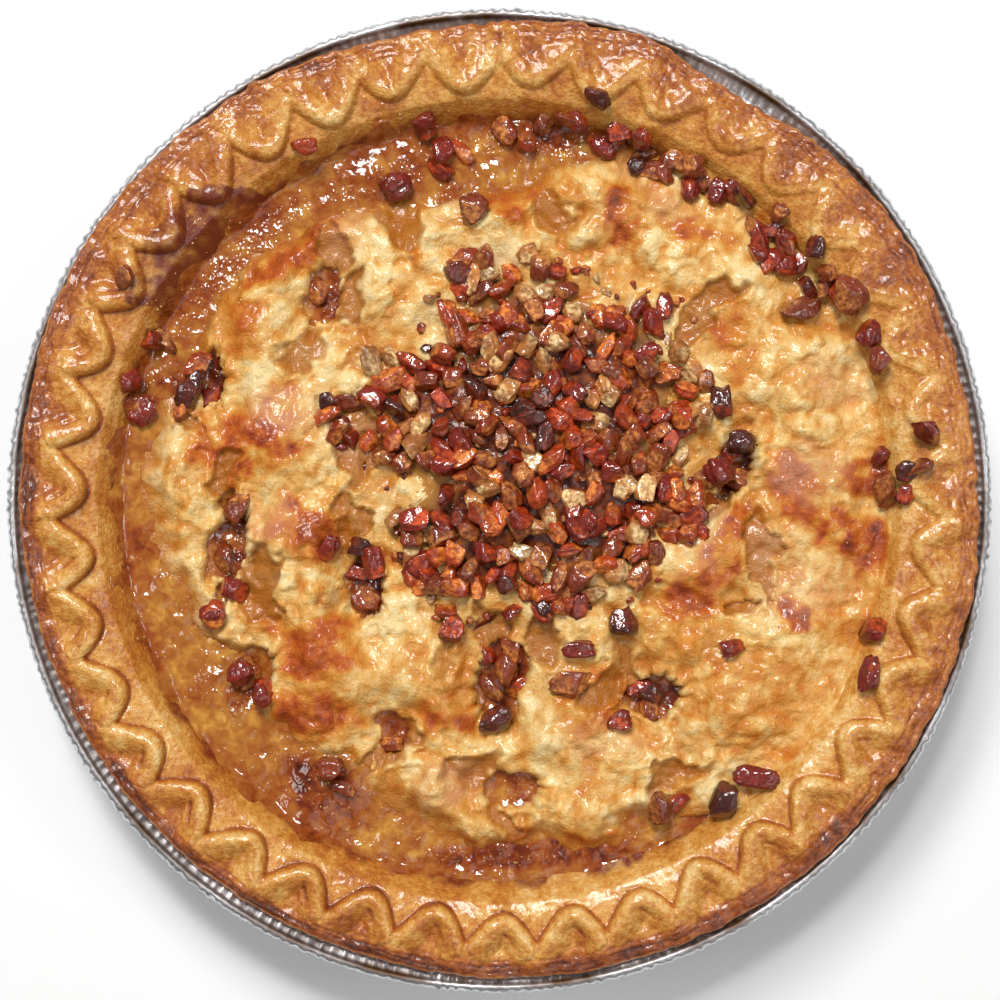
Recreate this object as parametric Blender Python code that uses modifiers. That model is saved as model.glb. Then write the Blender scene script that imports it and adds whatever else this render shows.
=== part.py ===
"""Peach praline pie, baked and sold in its aluminium foil pan.

The pan is a turned shell with a rolled bead. The bottom crust fills it and ends in a wide crimped rim,
the peach filling runs through the pie up to one level, the top crust is a lumpy sheet of pastry with
leaf-shaped openings, and chopped pecans lie on it, most of them in a heap of praline in the middle.

Places on the pie are read from a plan seen from above, 1000 units wide, x to the right and y down.
"""

import math
import random

import bmesh
import bpy
from mathutils import Euler, Vector, noise
from mathutils.bvhtree import BVHTree
from mathutils.geometry import delaunay_2d_cdt

MM = 0.001
GAP = 0.3 * MM  # kept between pieces that touch

# Foil pan
PAN_RADIUS = 124.0 * MM
PAN_HEIGHT = 33.0 * MM
PAN_BASE_RADIUS = 96.0 * MM
PAN_MOUTH_RADIUS = 117.5 * MM
FOIL = 0.4 * MM
BEAD_RADIUS = 1.6 * MM
BEAD_TURNS = (195, 140, 90, 40, -10, -60, -110, -155)  # degrees round the bead, from flange to flange
PAN_CORNER = 4.0 * MM
PAN_STEPS = 60

# Plan of the pie
PLAN_CENTRE = (499.5, 500.6)
PLAN_UNIT = PAN_RADIUS / 492.4

# Bottom crust
CRIMPS = 39
FIRST_CUSP_DEG = 265.0
CRIMP_SKEW = 1.36  # above 1, a crimp climbs gently to its apex and falls off steeply
FINE_PER_CRIMP = 6
COARSE_PER_CRIMP = 2
RIM_ROWS = 9
CRUST_BASE = 4.0 * MM
WALL_CLEARANCE = 0.55 * MM
FOOT_RADIUS = 95.8 * MM
SLOPE_MIDDLE = (98.6 * MM, 31.0 * MM)  # radius and height half-way up the slope from filling to crimps
SLOPE_TOP = (101.0 * MM, 34.4 * MM)
RIDGE_INNER_RADIUS = 105.0 * MM
RIDGE_OUTER_RADIUS = 114.6 * MM
RIDGE_HALF_WIDTH = 2.5 * MM
RIDGE_HEIGHT = 2.4 * MM
SHALLOWEST_CREST = 0.35  # share of the ridge's height left where the crimps are faint
CRIMP_MEAN = 0.66
CRIMP_SWING = 0.34
DEEPEST_CRIMP_DEG = 232
APEX_DROP = 1.9 * MM  # how far the slope lies below the band at a crimp's inward apex
CUSP_DROP = 0.4 * MM
HOLLOW_DROP = 1.3 * MM
BAND_HEIGHT = 37.0 * MM
BAND_RADIUS = 117.4 * MM
EDGE_ROUND = 0.9 * MM
LIP_RADIUS = 119.0 * MM
RIM_WANDER = 0.5 * MM
WANDERS_A_TURN = 12.0
CAVITY_WALL = (92.0 * MM, 9.0 * MM)
CAVITY_FLOOR_RADIUS = 88.0 * MM
RIM_EDGE = [  # degrees, outer radius in mm
    (10, 119.6), (40, 120.9), (60, 117.6), (75, 121.6), (100, 119.1), (120, 120.9), (145, 122.1),
    (176, 120.4), (205, 119.1), (250, 118.6), (270, 119.6), (290, 120.1), (320, 120.9), (346, 120.9),
]

# Peach filling
FILL_LEVEL = 27.0 * MM
FILL_RADIUS = 95.3 * MM
FILL_RIM = 1.2 * MM

# Top crust
LID_EDGE_TOP = 29.4 * MM
LID_RISE = 0.9 * MM  # from the thin edge to the flat parts of the sheet
LID_DOME = 2.4 * MM
LID_RIPPLE = 0.7 * MM
RIPPLE_LENGTH = 17.0 * MM
LID_EASE = 8.0 * MM  # how far a dip at an opening or the edge reaches
LID_EDGE_SHARE = 0.15
LID_CELL = 7.2 * MM
CELL_ROW = LID_CELL * math.sqrt(3.0) / 2.0
CELL_JITTER = 0.12 * LID_CELL
CELL_CLEARANCE = 0.35 * LID_CELL
LID_EDGE_POINTS = 90
TEARS = 30
TEAR_DEPTH = 0.4 * MM
LID_OUTLINE = [  # degrees, radius in mm
    (10, 95.0), (55, 95.0), (75, 89.0), (90, 77.0), (103, 76.0), (115, 84.0), (127, 88.0), (140, 87.0),
    (155, 85.0), (180, 83.0), (205, 86.0), (225, 88.0), (245, 84.0), (270, 86.0), (290, 90.0), (315, 94.5),
    (345, 95.0),
]
# Leaf-shaped openings: plan place, half length and half width in mm, heading in degrees.
OPENINGS = [
    ((322, 298), 9.3, 5.0, 80), ((211, 380), 8.6, 3.4, 90), ((228, 545), 13.6, 5.0, 82),
    ((365, 583), 10.8, 4.6, 100), ((500, 686), 11.3, 6.5, 90), ((655, 698), 7.6, 5.5, 20),
    ((393, 738), 5.8, 4.2, 90), ((512, 790), 8.2, 5.4, 0), ((738, 468), 8.8, 4.2, 60),
    ((250, 680), 8.0, 4.8, 60),
]
TEETH = 9
TOOTH_DEPTH = 0.16
# Fruit under the pastry: plan place, reach and rise in mm.
LUMPS = [
    ((300, 235), 12, 2.6), ((392, 285), 13, 3.4), ((250, 332), 11, 2.8), ((275, 430), 13, 3.6),
    ((172, 478), 9, 3.0), ((292, 545), 12, 3.2), ((330, 645), 12, 3.4), ((205, 610), 7, 1.8),
    ((410, 680), 11, 3.2), ((430, 800), 12, 3.0), ((560, 745), 12, 3.4), ((600, 820), 10, 2.2),
    ((715, 700), 13, 3.4), ((790, 640), 12, 2.6), ((700, 560), 12, 3.0), ((830, 500), 12, 2.4),
    ((795, 400), 14, 3.6), ((850, 340), 9, 1.8), ((740, 275), 12, 2.6), ((610, 205), 14, 3.4),
    ((500, 215), 11, 2.4), ((520, 440), 22, 1.6),
]

# Praline heap
HEAP_CENTRE = (545, 440)
HEAP_OUTLINE = [  # degrees, radius in mm
    (20, 44.0), (44, 50.0), (68, 46.0), (90, 49.0), (116, 52.0), (139, 42.0), (160, 54.0), (177, 57.0),
    (193, 42.0), (218, 48.0), (242, 54.0), (258, 46.0), (285, 46.0), (310, 48.0), (337, 46.0), (352, 36.0),
]
HEAP_EDGE_COVER = 1.3 * MM
HEAP_DOME_COVER = 2.4 * MM
HEAP_DOME_START = 1.6  # the mound is full height this many times sooner than at its middle
HEAP_RINGS = 5
HEAP_STEPS = 32
HEAP_PIECES = 52
HEAP_REACH = 0.95  # share of the outline's radius that the pieces cover
PIECE_LENGTH = (6.5 * MM, 9.0 * MM)
PIECE_WIDTH = (4.2 * MM, 5.6 * MM)
PIECE_HEIGHT = (3.6 * MM, 4.6 * MM)
PIECE_RAISE = 0.15  # share of a piece's height that it stands above half sunk
PIECE_TILT = 0.4
GOLDEN_ANGLE = math.pi * (3.0 - math.sqrt(5.0))

# Loose chopped pecans: plan place, length and width in mm, heading in degrees.
PECANS = [
    ((305, 148), 7.2, 5.0, 10), ((130, 281), 7.0, 6.4, 0), ((237, 508), 8.6, 6.6, 60),
    ((597, 101), 8.0, 5.6, 300), ((570, 120), 9.6, 5.2, 140), ((606, 143), 8.4, 6.0, 150),
    ((644, 140), 7.6, 6.4, 80), ((636, 164), 6.6, 5.2, 30), ((663, 172), 7.4, 5.4, 120),
    ((688, 164), 9.6, 7.4, 10), ((717, 193), 7.2, 6.4, 60), ((744, 195), 9.4, 5.0, 110),
    ((778, 216), 7.4, 5.2, 60), ((757, 252), 6.8, 5.6, 0), ((787, 267), 7.6, 6.8, 20),
    ((814, 249), 7.2, 5.4, 80), ((826, 274), 7.4, 4.8, 20), ((802, 309), 11.0, 6.4, 0),
    ((845, 297), 10.8, 9.4, 130), ((866, 334), 9.0, 7.0, 100), ((877, 362), 8.6, 7.4, 80),
    ((923, 431), 11.0, 6.2, 120), ((915, 468), 8.8, 4.8, 10), ((880, 455), 6.4, 5.0, 60),
    ((886, 490), 9.6, 7.4, 40), ((870, 628), 9.2, 7.0, 0), ((867, 675), 10.8, 6.0, 80),
    ((728, 647), 8.2, 5.0, 10), ((757, 776), 13.0, 6.2, 350), ((724, 801), 10.0, 7.4, 70),
    ((660, 806), 10.2, 7.4, 80), ((620, 720), 6.6, 5.8, 0), ((571, 682), 12.6, 6.4, 10),
    ((575, 649), 10.2, 5.4, 5), ((622, 622), 7.8, 6.8, 0), ((493, 719), 10.4, 7.6, 10),
    ((505, 668), 8.6, 6.4, 60), ((450, 628), 7.8, 7.2, 0), ((472, 209), 9.0, 8.4, 330),
    ((395, 183), 8.8, 8.0, 30), ((441, 150), 8.6, 7.4, 110), ((424, 122), 7.0, 5.6, 20),
    ((742, 441), 8.8, 6.4, 20), ((718, 470), 8.8, 7.6, 130), ((213, 613), 7.2, 5.4, 10),
    ((240, 673), 7.4, 5.8, 30), ((263, 696), 6.8, 5.6, 60), ((330, 770), 7.4, 6.8, 0),
    ((131, 380), 7.4, 6.0, 20), ((141, 410), 8.4, 7.2, 60), ((150, 342), 7.2, 6.0, 120),
    ((188, 388), 11.0, 6.0, 70),
]
PECAN_HEIGHT_SHARE = 0.68
PECAN_UNEVEN = (0.9, 1.12)
PECAN_TILT = 0.15
PECAN_START = 0.2  # share of its height above what is under its middle, where its raising starts
SETTLE_STEP = 0.1 * MM
SETTLE_TRIES = 200
ABOVE_PIE = 100.0 * MM
PECAN_BALL_RADIUS = 0.55  # a twenty-sided ball this large fills a unit box once its corners are uneven
PIECE_SEED = 11


def plan(place):
    """A place on the plan as metres from the middle of the pie."""
    return Vector(((place[0] - PLAN_CENTRE[0]) * PLAN_UNIT, (PLAN_CENTRE[1] - place[1]) * PLAN_UNIT))


def ease(share):
    """A smooth step from 0 to 1."""
    share = min(1.0, max(0.0, share))
    return share * share * (3.0 - 2.0 * share)


def outline_radius(stations, angle):
    """The radius in metres of a closed outline at an angle, eased from station to station."""
    turn = math.degrees(angle) % 360.0
    last_turn, last_radius = stations[-1]
    before = (last_turn - 360.0, last_radius)
    after = (stations[0][0] + 360.0, stations[0][1])
    for station in stations + [after]:
        if turn < station[0]:
            share = ease((turn - before[0]) / (station[0] - before[0]))
            return (before[1] + (station[1] - before[1]) * share) * MM
        before = station
    return after[1] * MM


def polar(radius, angle, height):
    return Vector((radius * math.cos(angle), radius * math.sin(angle), height))


def new_collection(name):
    collection = bpy.data.collections.new(name)
    bpy.context.scene.collection.children.link(collection)
    return collection


def new_material(name, colour, roughness, metallic=0.0):
    material = bpy.data.materials.new(name)
    material.use_nodes = True
    shader = material.node_tree.nodes["Principled BSDF"]
    shader.inputs["Base Color"].default_value = (*colour, 1.0)
    shader.inputs["Roughness"].default_value = roughness
    shader.inputs["Metallic"].default_value = metallic
    return material


def add_object(name, mesh, collection, material=None):
    thing = bpy.data.objects.new(name, mesh)
    collection.objects.link(thing)
    if material:
        mesh.materials.append(material)
    return thing


def smooth(mesh, sharp_deg):
    mesh.shade_smooth()
    mesh.set_sharp_from_angle(angle=math.radians(sharp_deg))


def mesh_from(bm, name):
    """A mesh from closed faces, turned to point outwards."""
    bmesh.ops.recalc_face_normals(bm, faces=bm.faces)
    mesh = bpy.data.meshes.new(name)
    bm.to_mesh(mesh)
    bm.free()
    return mesh


def turned(name, profile, steps, collection, material):
    """A body of revolution: the profile runs out from the axis on top and back to it below."""
    mesh = bpy.data.meshes.new(name)
    points = [(radius, 0.0, height) for radius, height in profile]
    edges = [(index, index + 1) for index in range(len(points) - 1)]
    mesh.from_pydata(points, edges, [])
    body = add_object(name, mesh, collection, material)
    screw = body.modifiers.new("turn", "SCREW")
    screw.steps = steps
    screw.render_steps = steps
    screw.use_merge_vertices = True
    screw.merge_threshold = 0.00001
    screw.use_smooth_shade = False
    return body


def pan_wall_radius(height):
    """The inside of the pan's sloping wall at a height."""
    share = (height - PAN_CORNER) / (PAN_HEIGHT - PAN_CORNER)
    return PAN_BASE_RADIUS + (PAN_MOUTH_RADIUS - PAN_BASE_RADIUS) * share


def make_pan(collection):
    """Pressed foil: flat base, rounded corner, sloping wall, narrow flange and a fat rolled bead."""
    bead_middle = PAN_RADIUS - BEAD_RADIUS
    bead_height = PAN_HEIGHT + 2.0 * FOIL
    bead = []
    for turn in BEAD_TURNS:
        angle = math.radians(turn)
        out = BEAD_RADIUS * math.cos(angle)
        up = BEAD_RADIUS * math.sin(angle)
        bead.append((bead_middle + out, bead_height + up))
    inner_corner = PAN_BASE_RADIUS - 0.45 * PAN_CORNER
    profile = [
        (0.0, FOIL),
        (PAN_BASE_RADIUS - PAN_CORNER, FOIL),
        (inner_corner, FOIL + 0.3 * PAN_CORNER),
        (PAN_BASE_RADIUS, PAN_CORNER),
        (PAN_MOUTH_RADIUS, PAN_HEIGHT + FOIL),
    ]
    profile += bead
    profile += [
        (PAN_MOUTH_RADIUS + 1.2 * FOIL, PAN_HEIGHT),
        (PAN_BASE_RADIUS + 1.2 * FOIL, PAN_CORNER - 0.5 * FOIL),
        (inner_corner + 0.7 * FOIL, 0.25 * PAN_CORNER),
        (PAN_BASE_RADIUS - PAN_CORNER, 0.0),
        (0.0, 0.0),
    ]
    foil = new_material("foil", (0.78, 0.78, 0.79), 0.3, 1.0)
    return turned("foil_pan", profile, PAN_STEPS, collection, foil)


def crimp_strength(angle):
    """How deep the crimps stand: full at the lower left, almost flat at the upper right."""
    return CRIMP_MEAN + CRIMP_SWING * math.cos(angle - math.radians(DEEPEST_CRIMP_DEG))


def crimp_share(angle):
    """1 at the inward apex of a crimp and 0 at the cusp where two crimps meet."""
    along = (angle - math.radians(FIRST_CUSP_DEG)) * CRIMPS / math.tau % 1.0
    return math.sin(math.pi * along ** CRIMP_SKEW)


def rim_row(row, angle):
    """A point of the rim's skin. Rows run from the foot by the filling over the ridge to the edge."""
    apex = crimp_share(angle)
    strength = crimp_strength(angle)
    edge = outline_radius(RIM_EDGE, angle)
    wander = RIM_WANDER * noise.noise(polar(WANDERS_A_TURN, angle, 0.0))
    ridge = RIDGE_OUTER_RADIUS - (RIDGE_OUTER_RADIUS - RIDGE_INNER_RADIUS) * apex + wander
    band = BAND_HEIGHT + wander
    shoulder = band - CUSP_DROP - (APEX_DROP - CUSP_DROP) * apex
    crest = band + RIDGE_HEIGHT * (SHALLOWEST_CREST + (1.0 - SHALLOWEST_CREST) * strength)
    hollow = band - HOLLOW_DROP * strength * apex
    rows = [
        (FOOT_RADIUS, FILL_LEVEL - FILL_RIM),
        SLOPE_MIDDLE,
        SLOPE_TOP,
        (ridge - RIDGE_HALF_WIDTH, shoulder),
        (ridge, crest),
        (ridge + RIDGE_HALF_WIDTH, hollow),
        (max(BAND_RADIUS, ridge + 1.1 * RIDGE_HALF_WIDTH), band),
        (edge - 0.4 * EDGE_ROUND, band - 0.2 * EDGE_ROUND),
        (edge, band - EDGE_ROUND),
    ]
    radius, height = rows[row]
    return polar(radius, angle, height)


def ring(bm, count, point_at):
    return [bm.verts.new(point_at(math.tau * index / count)) for index in range(count)]


def bridge(bm, fine, coarse):
    """Faces between two closed rings; the first may have a whole multiple of the second's points."""
    ratio = len(fine) // len(coarse)
    for index, start in enumerate(coarse):
        end = coarse[(index + 1) % len(coarse)]
        points = [fine[(index * ratio + step) % len(fine)] for step in range(ratio + 1)]
        if ratio == 1:
            bm.faces.new((points[0], points[1], end, start))
            continue
        middle = (ratio + 1) // 2
        for step in range(ratio):
            anchor = start if step < middle else end
            bm.faces.new((points[step], points[step + 1], anchor))
        bm.faces.new((points[middle], end, start))


def close_ring(bm, loop, height):
    """Closes a ring with a fan round a point on the axis."""
    middle = bm.verts.new((0.0, 0.0, height))
    for index, start in enumerate(loop):
        bm.faces.new((start, loop[(index + 1) % len(loop)], middle))


def make_crust(collection):
    """Bottom crust: a pastry shell along the pan's wall, with a wide rim crimped into a zigzag ridge."""
    bm = bmesh.new()
    fine_count = CRIMPS * FINE_PER_CRIMP
    coarse_count = CRIMPS * COARSE_PER_CRIMP
    first = math.radians(FIRST_CUSP_DEG)
    rim = [ring(bm, fine_count, lambda a, r=row: rim_row(r, a + first)) for row in range(RIM_ROWS)]
    for upper, lower in zip(rim[1:], rim[:-1]):
        bridge(bm, upper, lower)

    def lip(angle):
        edge = outline_radius(RIM_EDGE, angle + first)
        return polar(min(LIP_RADIUS, edge - EDGE_ROUND), angle + first, PAN_HEIGHT + FOIL + 1.5 * GAP)

    crust_base_height = FOIL + GAP
    below_lip = PAN_HEIGHT - 3.0 * MM
    outer_sections = [
        (PAN_MOUTH_RADIUS - GAP, PAN_HEIGHT + FOIL + GAP),
        (pan_wall_radius(below_lip) - WALL_CLEARANCE, below_lip),
        (pan_wall_radius(PAN_CORNER) - WALL_CLEARANCE, PAN_CORNER + GAP),
        (PAN_BASE_RADIUS - PAN_CORNER - WALL_CLEARANCE, crust_base_height),
    ]
    inner_sections = [
        CAVITY_WALL,
        (CAVITY_FLOOR_RADIUS, crust_base_height + CRUST_BASE),
    ]
    above = ring(bm, coarse_count, lip)
    bridge(bm, rim[-1], above)
    for radius, height in outer_sections:
        below = ring(bm, coarse_count, lambda a, r=radius, h=height: polar(r, a + first, h))
        bridge(bm, above, below)
        above = below
    close_ring(bm, above, crust_base_height)
    above = rim[0]
    for radius, height in inner_sections:
        below = ring(bm, coarse_count, lambda a, r=radius, h=height: polar(r, a + first, h))
        bridge(bm, above, below)
        above = below
    close_ring(bm, above, crust_base_height + CRUST_BASE)
    mesh = mesh_from(bm, "pie_crust")
    smooth(mesh, 50)
    pastry = new_material("baked_pastry", (0.55, 0.27, 0.08), 0.45)
    return add_object("pie_crust", mesh, collection, pastry)


def make_filling(collection):
    """Peach filling: it fills the crust's inside up to one level, as the syrup finds it."""
    floor_height = FOIL + GAP + CRUST_BASE + GAP
    wall_radius, wall_height = CAVITY_WALL
    profile = [
        (0.0, FILL_LEVEL),
        (FILL_RADIUS, FILL_LEVEL),
        (FILL_RADIUS, FILL_LEVEL - FILL_RIM),
        (wall_radius - 1.5 * GAP, wall_height),
        (CAVITY_FLOOR_RADIUS - 1.5 * GAP, floor_height),
        (0.0, floor_height),
    ]
    syrup = new_material("peach_filling", (0.46, 0.2, 0.04), 0.12)
    return turned("peach_filling", profile, PAN_STEPS, collection, syrup)


def opening_distance(opening, x, y):
    """How far a point lies outside an opening's leaf, in metres; negative inside it."""
    place, half_length, half_width, heading = opening
    turned_by = math.radians(heading)
    middle = plan(place)
    along = (x - middle.x) * math.cos(turned_by) + (y - middle.y) * math.sin(turned_by)
    across = (y - middle.y) * math.cos(turned_by) - (x - middle.x) * math.sin(turned_by)
    share = math.hypot(along / (half_length * MM), across / (half_width * MM))
    return (share - 1.0) * half_width * MM


def lid_height(x, y):
    """The top crust's upper face: a low dome with lumps over the fruit, dipping at openings and edge."""
    away = math.hypot(x, y)
    dome = LID_DOME * max(0.0, 1.0 - (away / FILL_RADIUS) ** 2)
    rise = LID_RISE + dome
    for place, reach, lift in LUMPS:
        middle = plan(place)
        spread = ((x - middle.x) ** 2 + (y - middle.y) ** 2) / (reach * MM) ** 2
        rise += lift * MM * math.exp(-spread)
    rise += LID_RIPPLE * noise.noise(Vector((x, y, 0.0)) / RIPPLE_LENGTH)
    edge = outline_radius(LID_OUTLINE, math.atan2(y, x)) - away
    nearest = min(edge, min(opening_distance(opening, x, y) for opening in OPENINGS))
    return LID_EDGE_TOP + rise * (LID_EDGE_SHARE + (1.0 - LID_EDGE_SHARE) * ease(nearest / LID_EASE))


def leaf_outline(opening):
    """The serrated edge of a leaf-shaped opening."""
    place, half_length, half_width, heading = opening
    middle = plan(place)
    turned_by = math.radians(heading)
    points = []
    for index in range(2 * TEETH):
        angle = math.pi * index / TEETH
        tooth = 1.0 + TOOTH_DEPTH * (1 if index % 2 else -1)
        along = half_length * MM * tooth * math.cos(angle)
        across = half_width * MM * tooth * math.sin(angle)
        x = middle.x + along * math.cos(turned_by) - across * math.sin(turned_by)
        y = middle.y + along * math.sin(turned_by) + across * math.cos(turned_by)
        points.append(Vector((x, y)))
    return points


def lid_edge():
    """The top crust's own outline, a little uneven as torn pastry is."""
    points = []
    for index in range(LID_EDGE_POINTS):
        angle = math.tau * index / LID_EDGE_POINTS
        radius = outline_radius(LID_OUTLINE, angle) - TEAR_DEPTH * abs(math.sin(angle * TEARS))
        points.append(polar(radius, angle, 0.0).to_2d())
    return points


def inside(loop, point):
    """Whether a point lies in a closed loop."""
    crossings = 0
    for start, end in zip(loop, loop[1:] + loop[:1]):
        if (start.y > point.y) != (end.y > point.y):
            share = (point.y - start.y) / (end.y - start.y)
            if point.x < start.x + share * (end.x - start.x):
                crossings += 1
    return crossings % 2 == 1


def lid_triangles(loops, extra):
    """Triangles over the first loop, less the other loops, on the loops' points and some extra ones."""
    points = [point for loop in loops for point in loop] + extra
    edges = []
    start = 0
    for loop in loops:
        edges += [(start + index, start + (index + 1) % len(loop)) for index in range(len(loop))]
        start += len(loop)
    verts, _, faces, origins, _, _ = delaunay_2d_cdt(points, edges, [], 0, 1e-7)
    triangles = []
    for face in faces:
        middle = sum((verts[index] for index in face), Vector((0.0, 0.0))) / 3
        if inside(loops[0], middle) and not any(inside(loop, middle) for loop in loops[1:]):
            triangles.append([origins[index][0] for index in face])
    return points, triangles


def make_lid(collection):
    """Top crust: one sheet of pastry, pierced by the openings, flat below where it lies on the filling."""
    loops = [lid_edge()] + [leaf_outline(opening) for opening in OPENINGS]
    draw = random.Random(PIECE_SEED)
    extra = []
    rows = int(FILL_RADIUS / CELL_ROW) + 1
    for row in range(-rows, rows + 1):
        for column in range(-rows, rows + 1):
            x = (column + 0.5 * (row % 2)) * LID_CELL + draw.uniform(-CELL_JITTER, CELL_JITTER)
            y = row * CELL_ROW + draw.uniform(-CELL_JITTER, CELL_JITTER)
            edge = outline_radius(LID_OUTLINE, math.atan2(y, x)) - math.hypot(x, y)
            clear = min(opening_distance(opening, x, y) for opening in OPENINGS)
            if min(edge, clear) > CELL_CLEARANCE:
                extra.append(Vector((x, y)))
    bm = bmesh.new()
    points, triangles = lid_triangles(loops, extra)
    upper = [bm.verts.new((p.x, p.y, lid_height(p.x, p.y))) for p in points]
    for triangle in triangles:
        bm.faces.new([upper[index] for index in triangle])
    border, floor_triangles = lid_triangles(loops, [])
    lower = [bm.verts.new((p.x, p.y, FILL_LEVEL + GAP)) for p in border]
    for triangle in floor_triangles:
        bm.faces.new([lower[index] for index in triangle])
    start = 0
    for loop in loops:
        for index in range(len(loop)):
            here = start + index
            after = start + (index + 1) % len(loop)
            bm.faces.new((upper[here], upper[after], lower[after], lower[here]))
        start += len(loop)
    mesh = mesh_from(bm, "top_crust")
    smooth(mesh, 50)
    pastry = new_material("pale_pastry", (0.8, 0.5, 0.18), 0.4)
    return add_object("top_crust", mesh, collection, pastry)


def pecan_mesh(name, size, draw):
    """A chopped pecan piece: a lengthened chip with uneven corners."""
    bm = bmesh.new()
    bmesh.ops.create_icosphere(bm, subdivisions=1, radius=PECAN_BALL_RADIUS)
    for vert in bm.verts:
        vert.co = vert.co * Vector(size) * draw.uniform(*PECAN_UNEVEN)
    return mesh_from(bm, name)


def make_heap(collection, lid, cutters):
    """Praline heap: a low mound of caramel with the pecan pieces that show fused on, fitted to the lid."""
    middle = plan(HEAP_CENTRE)
    draw = random.Random(PIECE_SEED)

    def mound(share, angle, sunk=False):
        radius = share * outline_radius(HEAP_OUTLINE, angle)
        x = middle.x + radius * math.cos(angle)
        y = middle.y + radius * math.sin(angle)
        cover = HEAP_EDGE_COVER + HEAP_DOME_COVER * ease(HEAP_DOME_START * (1.0 - share))
        height = LID_EDGE_TOP - GAP if sunk else lid_height(x, y) + cover
        return Vector((x, y, height))

    bm = bmesh.new()
    rings = []
    for index in range(HEAP_RINGS):
        share = 1.0 - index / HEAP_RINGS
        rings.append(ring(bm, HEAP_STEPS, lambda a, s=share: mound(s, a)))
    base = ring(bm, HEAP_STEPS, lambda a: mound(1.0, a, True))
    bridge(bm, base, rings[0])
    for outer, inner in zip(rings, rings[1:]):
        bridge(bm, outer, inner)
    for loop, sunk in ((rings[-1], False), (base, True)):
        centre = bm.verts.new(mound(0.0, 0.0, sunk))
        for index, start in enumerate(loop):
            bm.faces.new((start, loop[(index + 1) % len(loop)], centre))
    heap = add_object("praline_heap", mesh_from(bm, "praline_heap"), collection)
    pieces = new_collection("heap_pieces")
    for index in range(HEAP_PIECES):
        share = HEAP_REACH * math.sqrt((index + 0.5) / HEAP_PIECES)
        angle = index * GOLDEN_ANGLE % math.tau
        height = draw.uniform(*PIECE_HEIGHT)
        size = (draw.uniform(*PIECE_LENGTH), draw.uniform(*PIECE_WIDTH), height)
        mesh = pecan_mesh(f"heap_piece_{index}", size, draw)
        piece = add_object(mesh.name, mesh, pieces)
        piece.location = mound(share, angle) + Vector((0.0, 0.0, PIECE_RAISE * height))
        lean = draw.uniform(-PIECE_TILT, PIECE_TILT)
        roll = draw.uniform(-PIECE_TILT, PIECE_TILT)
        piece.rotation_euler = (lean, roll, draw.uniform(0.0, math.pi))
    fuse = heap.modifiers.new("fuse", "BOOLEAN")
    fuse.operation = "UNION"
    fuse.operand_type = "COLLECTION"
    fuse.collection = pieces
    apply_modifiers(heap)
    for piece in list(pieces.objects):
        bpy.data.objects.remove(piece)
    bpy.data.collections.remove(pieces)
    cutter = add_object("lid_clearance", lid.data.copy(), cutters)
    cutter.location.z = GAP
    cutter.hide_render = True
    cutter.display_type = "WIRE"
    fit = heap.modifiers.new("fit", "BOOLEAN")
    fit.operation = "DIFFERENCE"
    fit.object = cutter
    apply_modifiers(heap)
    keep_largest(heap)
    praline = new_material("praline", (0.24, 0.05, 0.02), 0.25)
    heap.data.materials.clear()
    heap.data.materials.append(praline)
    return heap


def apply_modifiers(thing):
    """Puts the shape that the modifiers give into the object's own mesh."""
    bpy.context.view_layer.update()
    depsgraph = bpy.context.evaluated_depsgraph_get()
    made = bpy.data.meshes.new_from_object(thing.evaluated_get(depsgraph))
    thing.modifiers.clear()
    thing.data = made


def keep_largest(thing):
    """Drops loose scraps that fusing and cutting leave."""
    bm = bmesh.new()
    bm.from_mesh(thing.data)
    unseen = set(bm.verts)
    shells = []
    while unseen:
        shell = set()
        front = [unseen.pop()]
        while front:
            vert = front.pop()
            shell.add(vert)
            for edge in vert.link_edges:
                other = edge.other_vert(vert)
                if other in unseen:
                    unseen.remove(other)
                    front.append(other)
        shells.append(shell)
    largest = max(shells, key=len)
    scraps = [vert for shell in shells if shell is not largest for vert in shell]
    bmesh.ops.delete(bm, geom=scraps, context="VERTS")
    bm.to_mesh(thing.data)
    bm.free()


def surface_tree(things):
    """One search tree over the evaluated faces of several objects."""
    depsgraph = bpy.context.evaluated_depsgraph_get()
    points = []
    faces = []
    for thing in things:
        evaluated = thing.evaluated_get(depsgraph)
        mesh = evaluated.to_mesh()
        mesh.calc_loop_triangles()
        start = len(points)
        points += [thing.matrix_world @ vert.co for vert in mesh.vertices]
        faces += [[start + index for index in triangle.vertices] for triangle in mesh.loop_triangles]
        evaluated.to_mesh_clear()
    return BVHTree.FromPolygons(points, faces)


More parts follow.
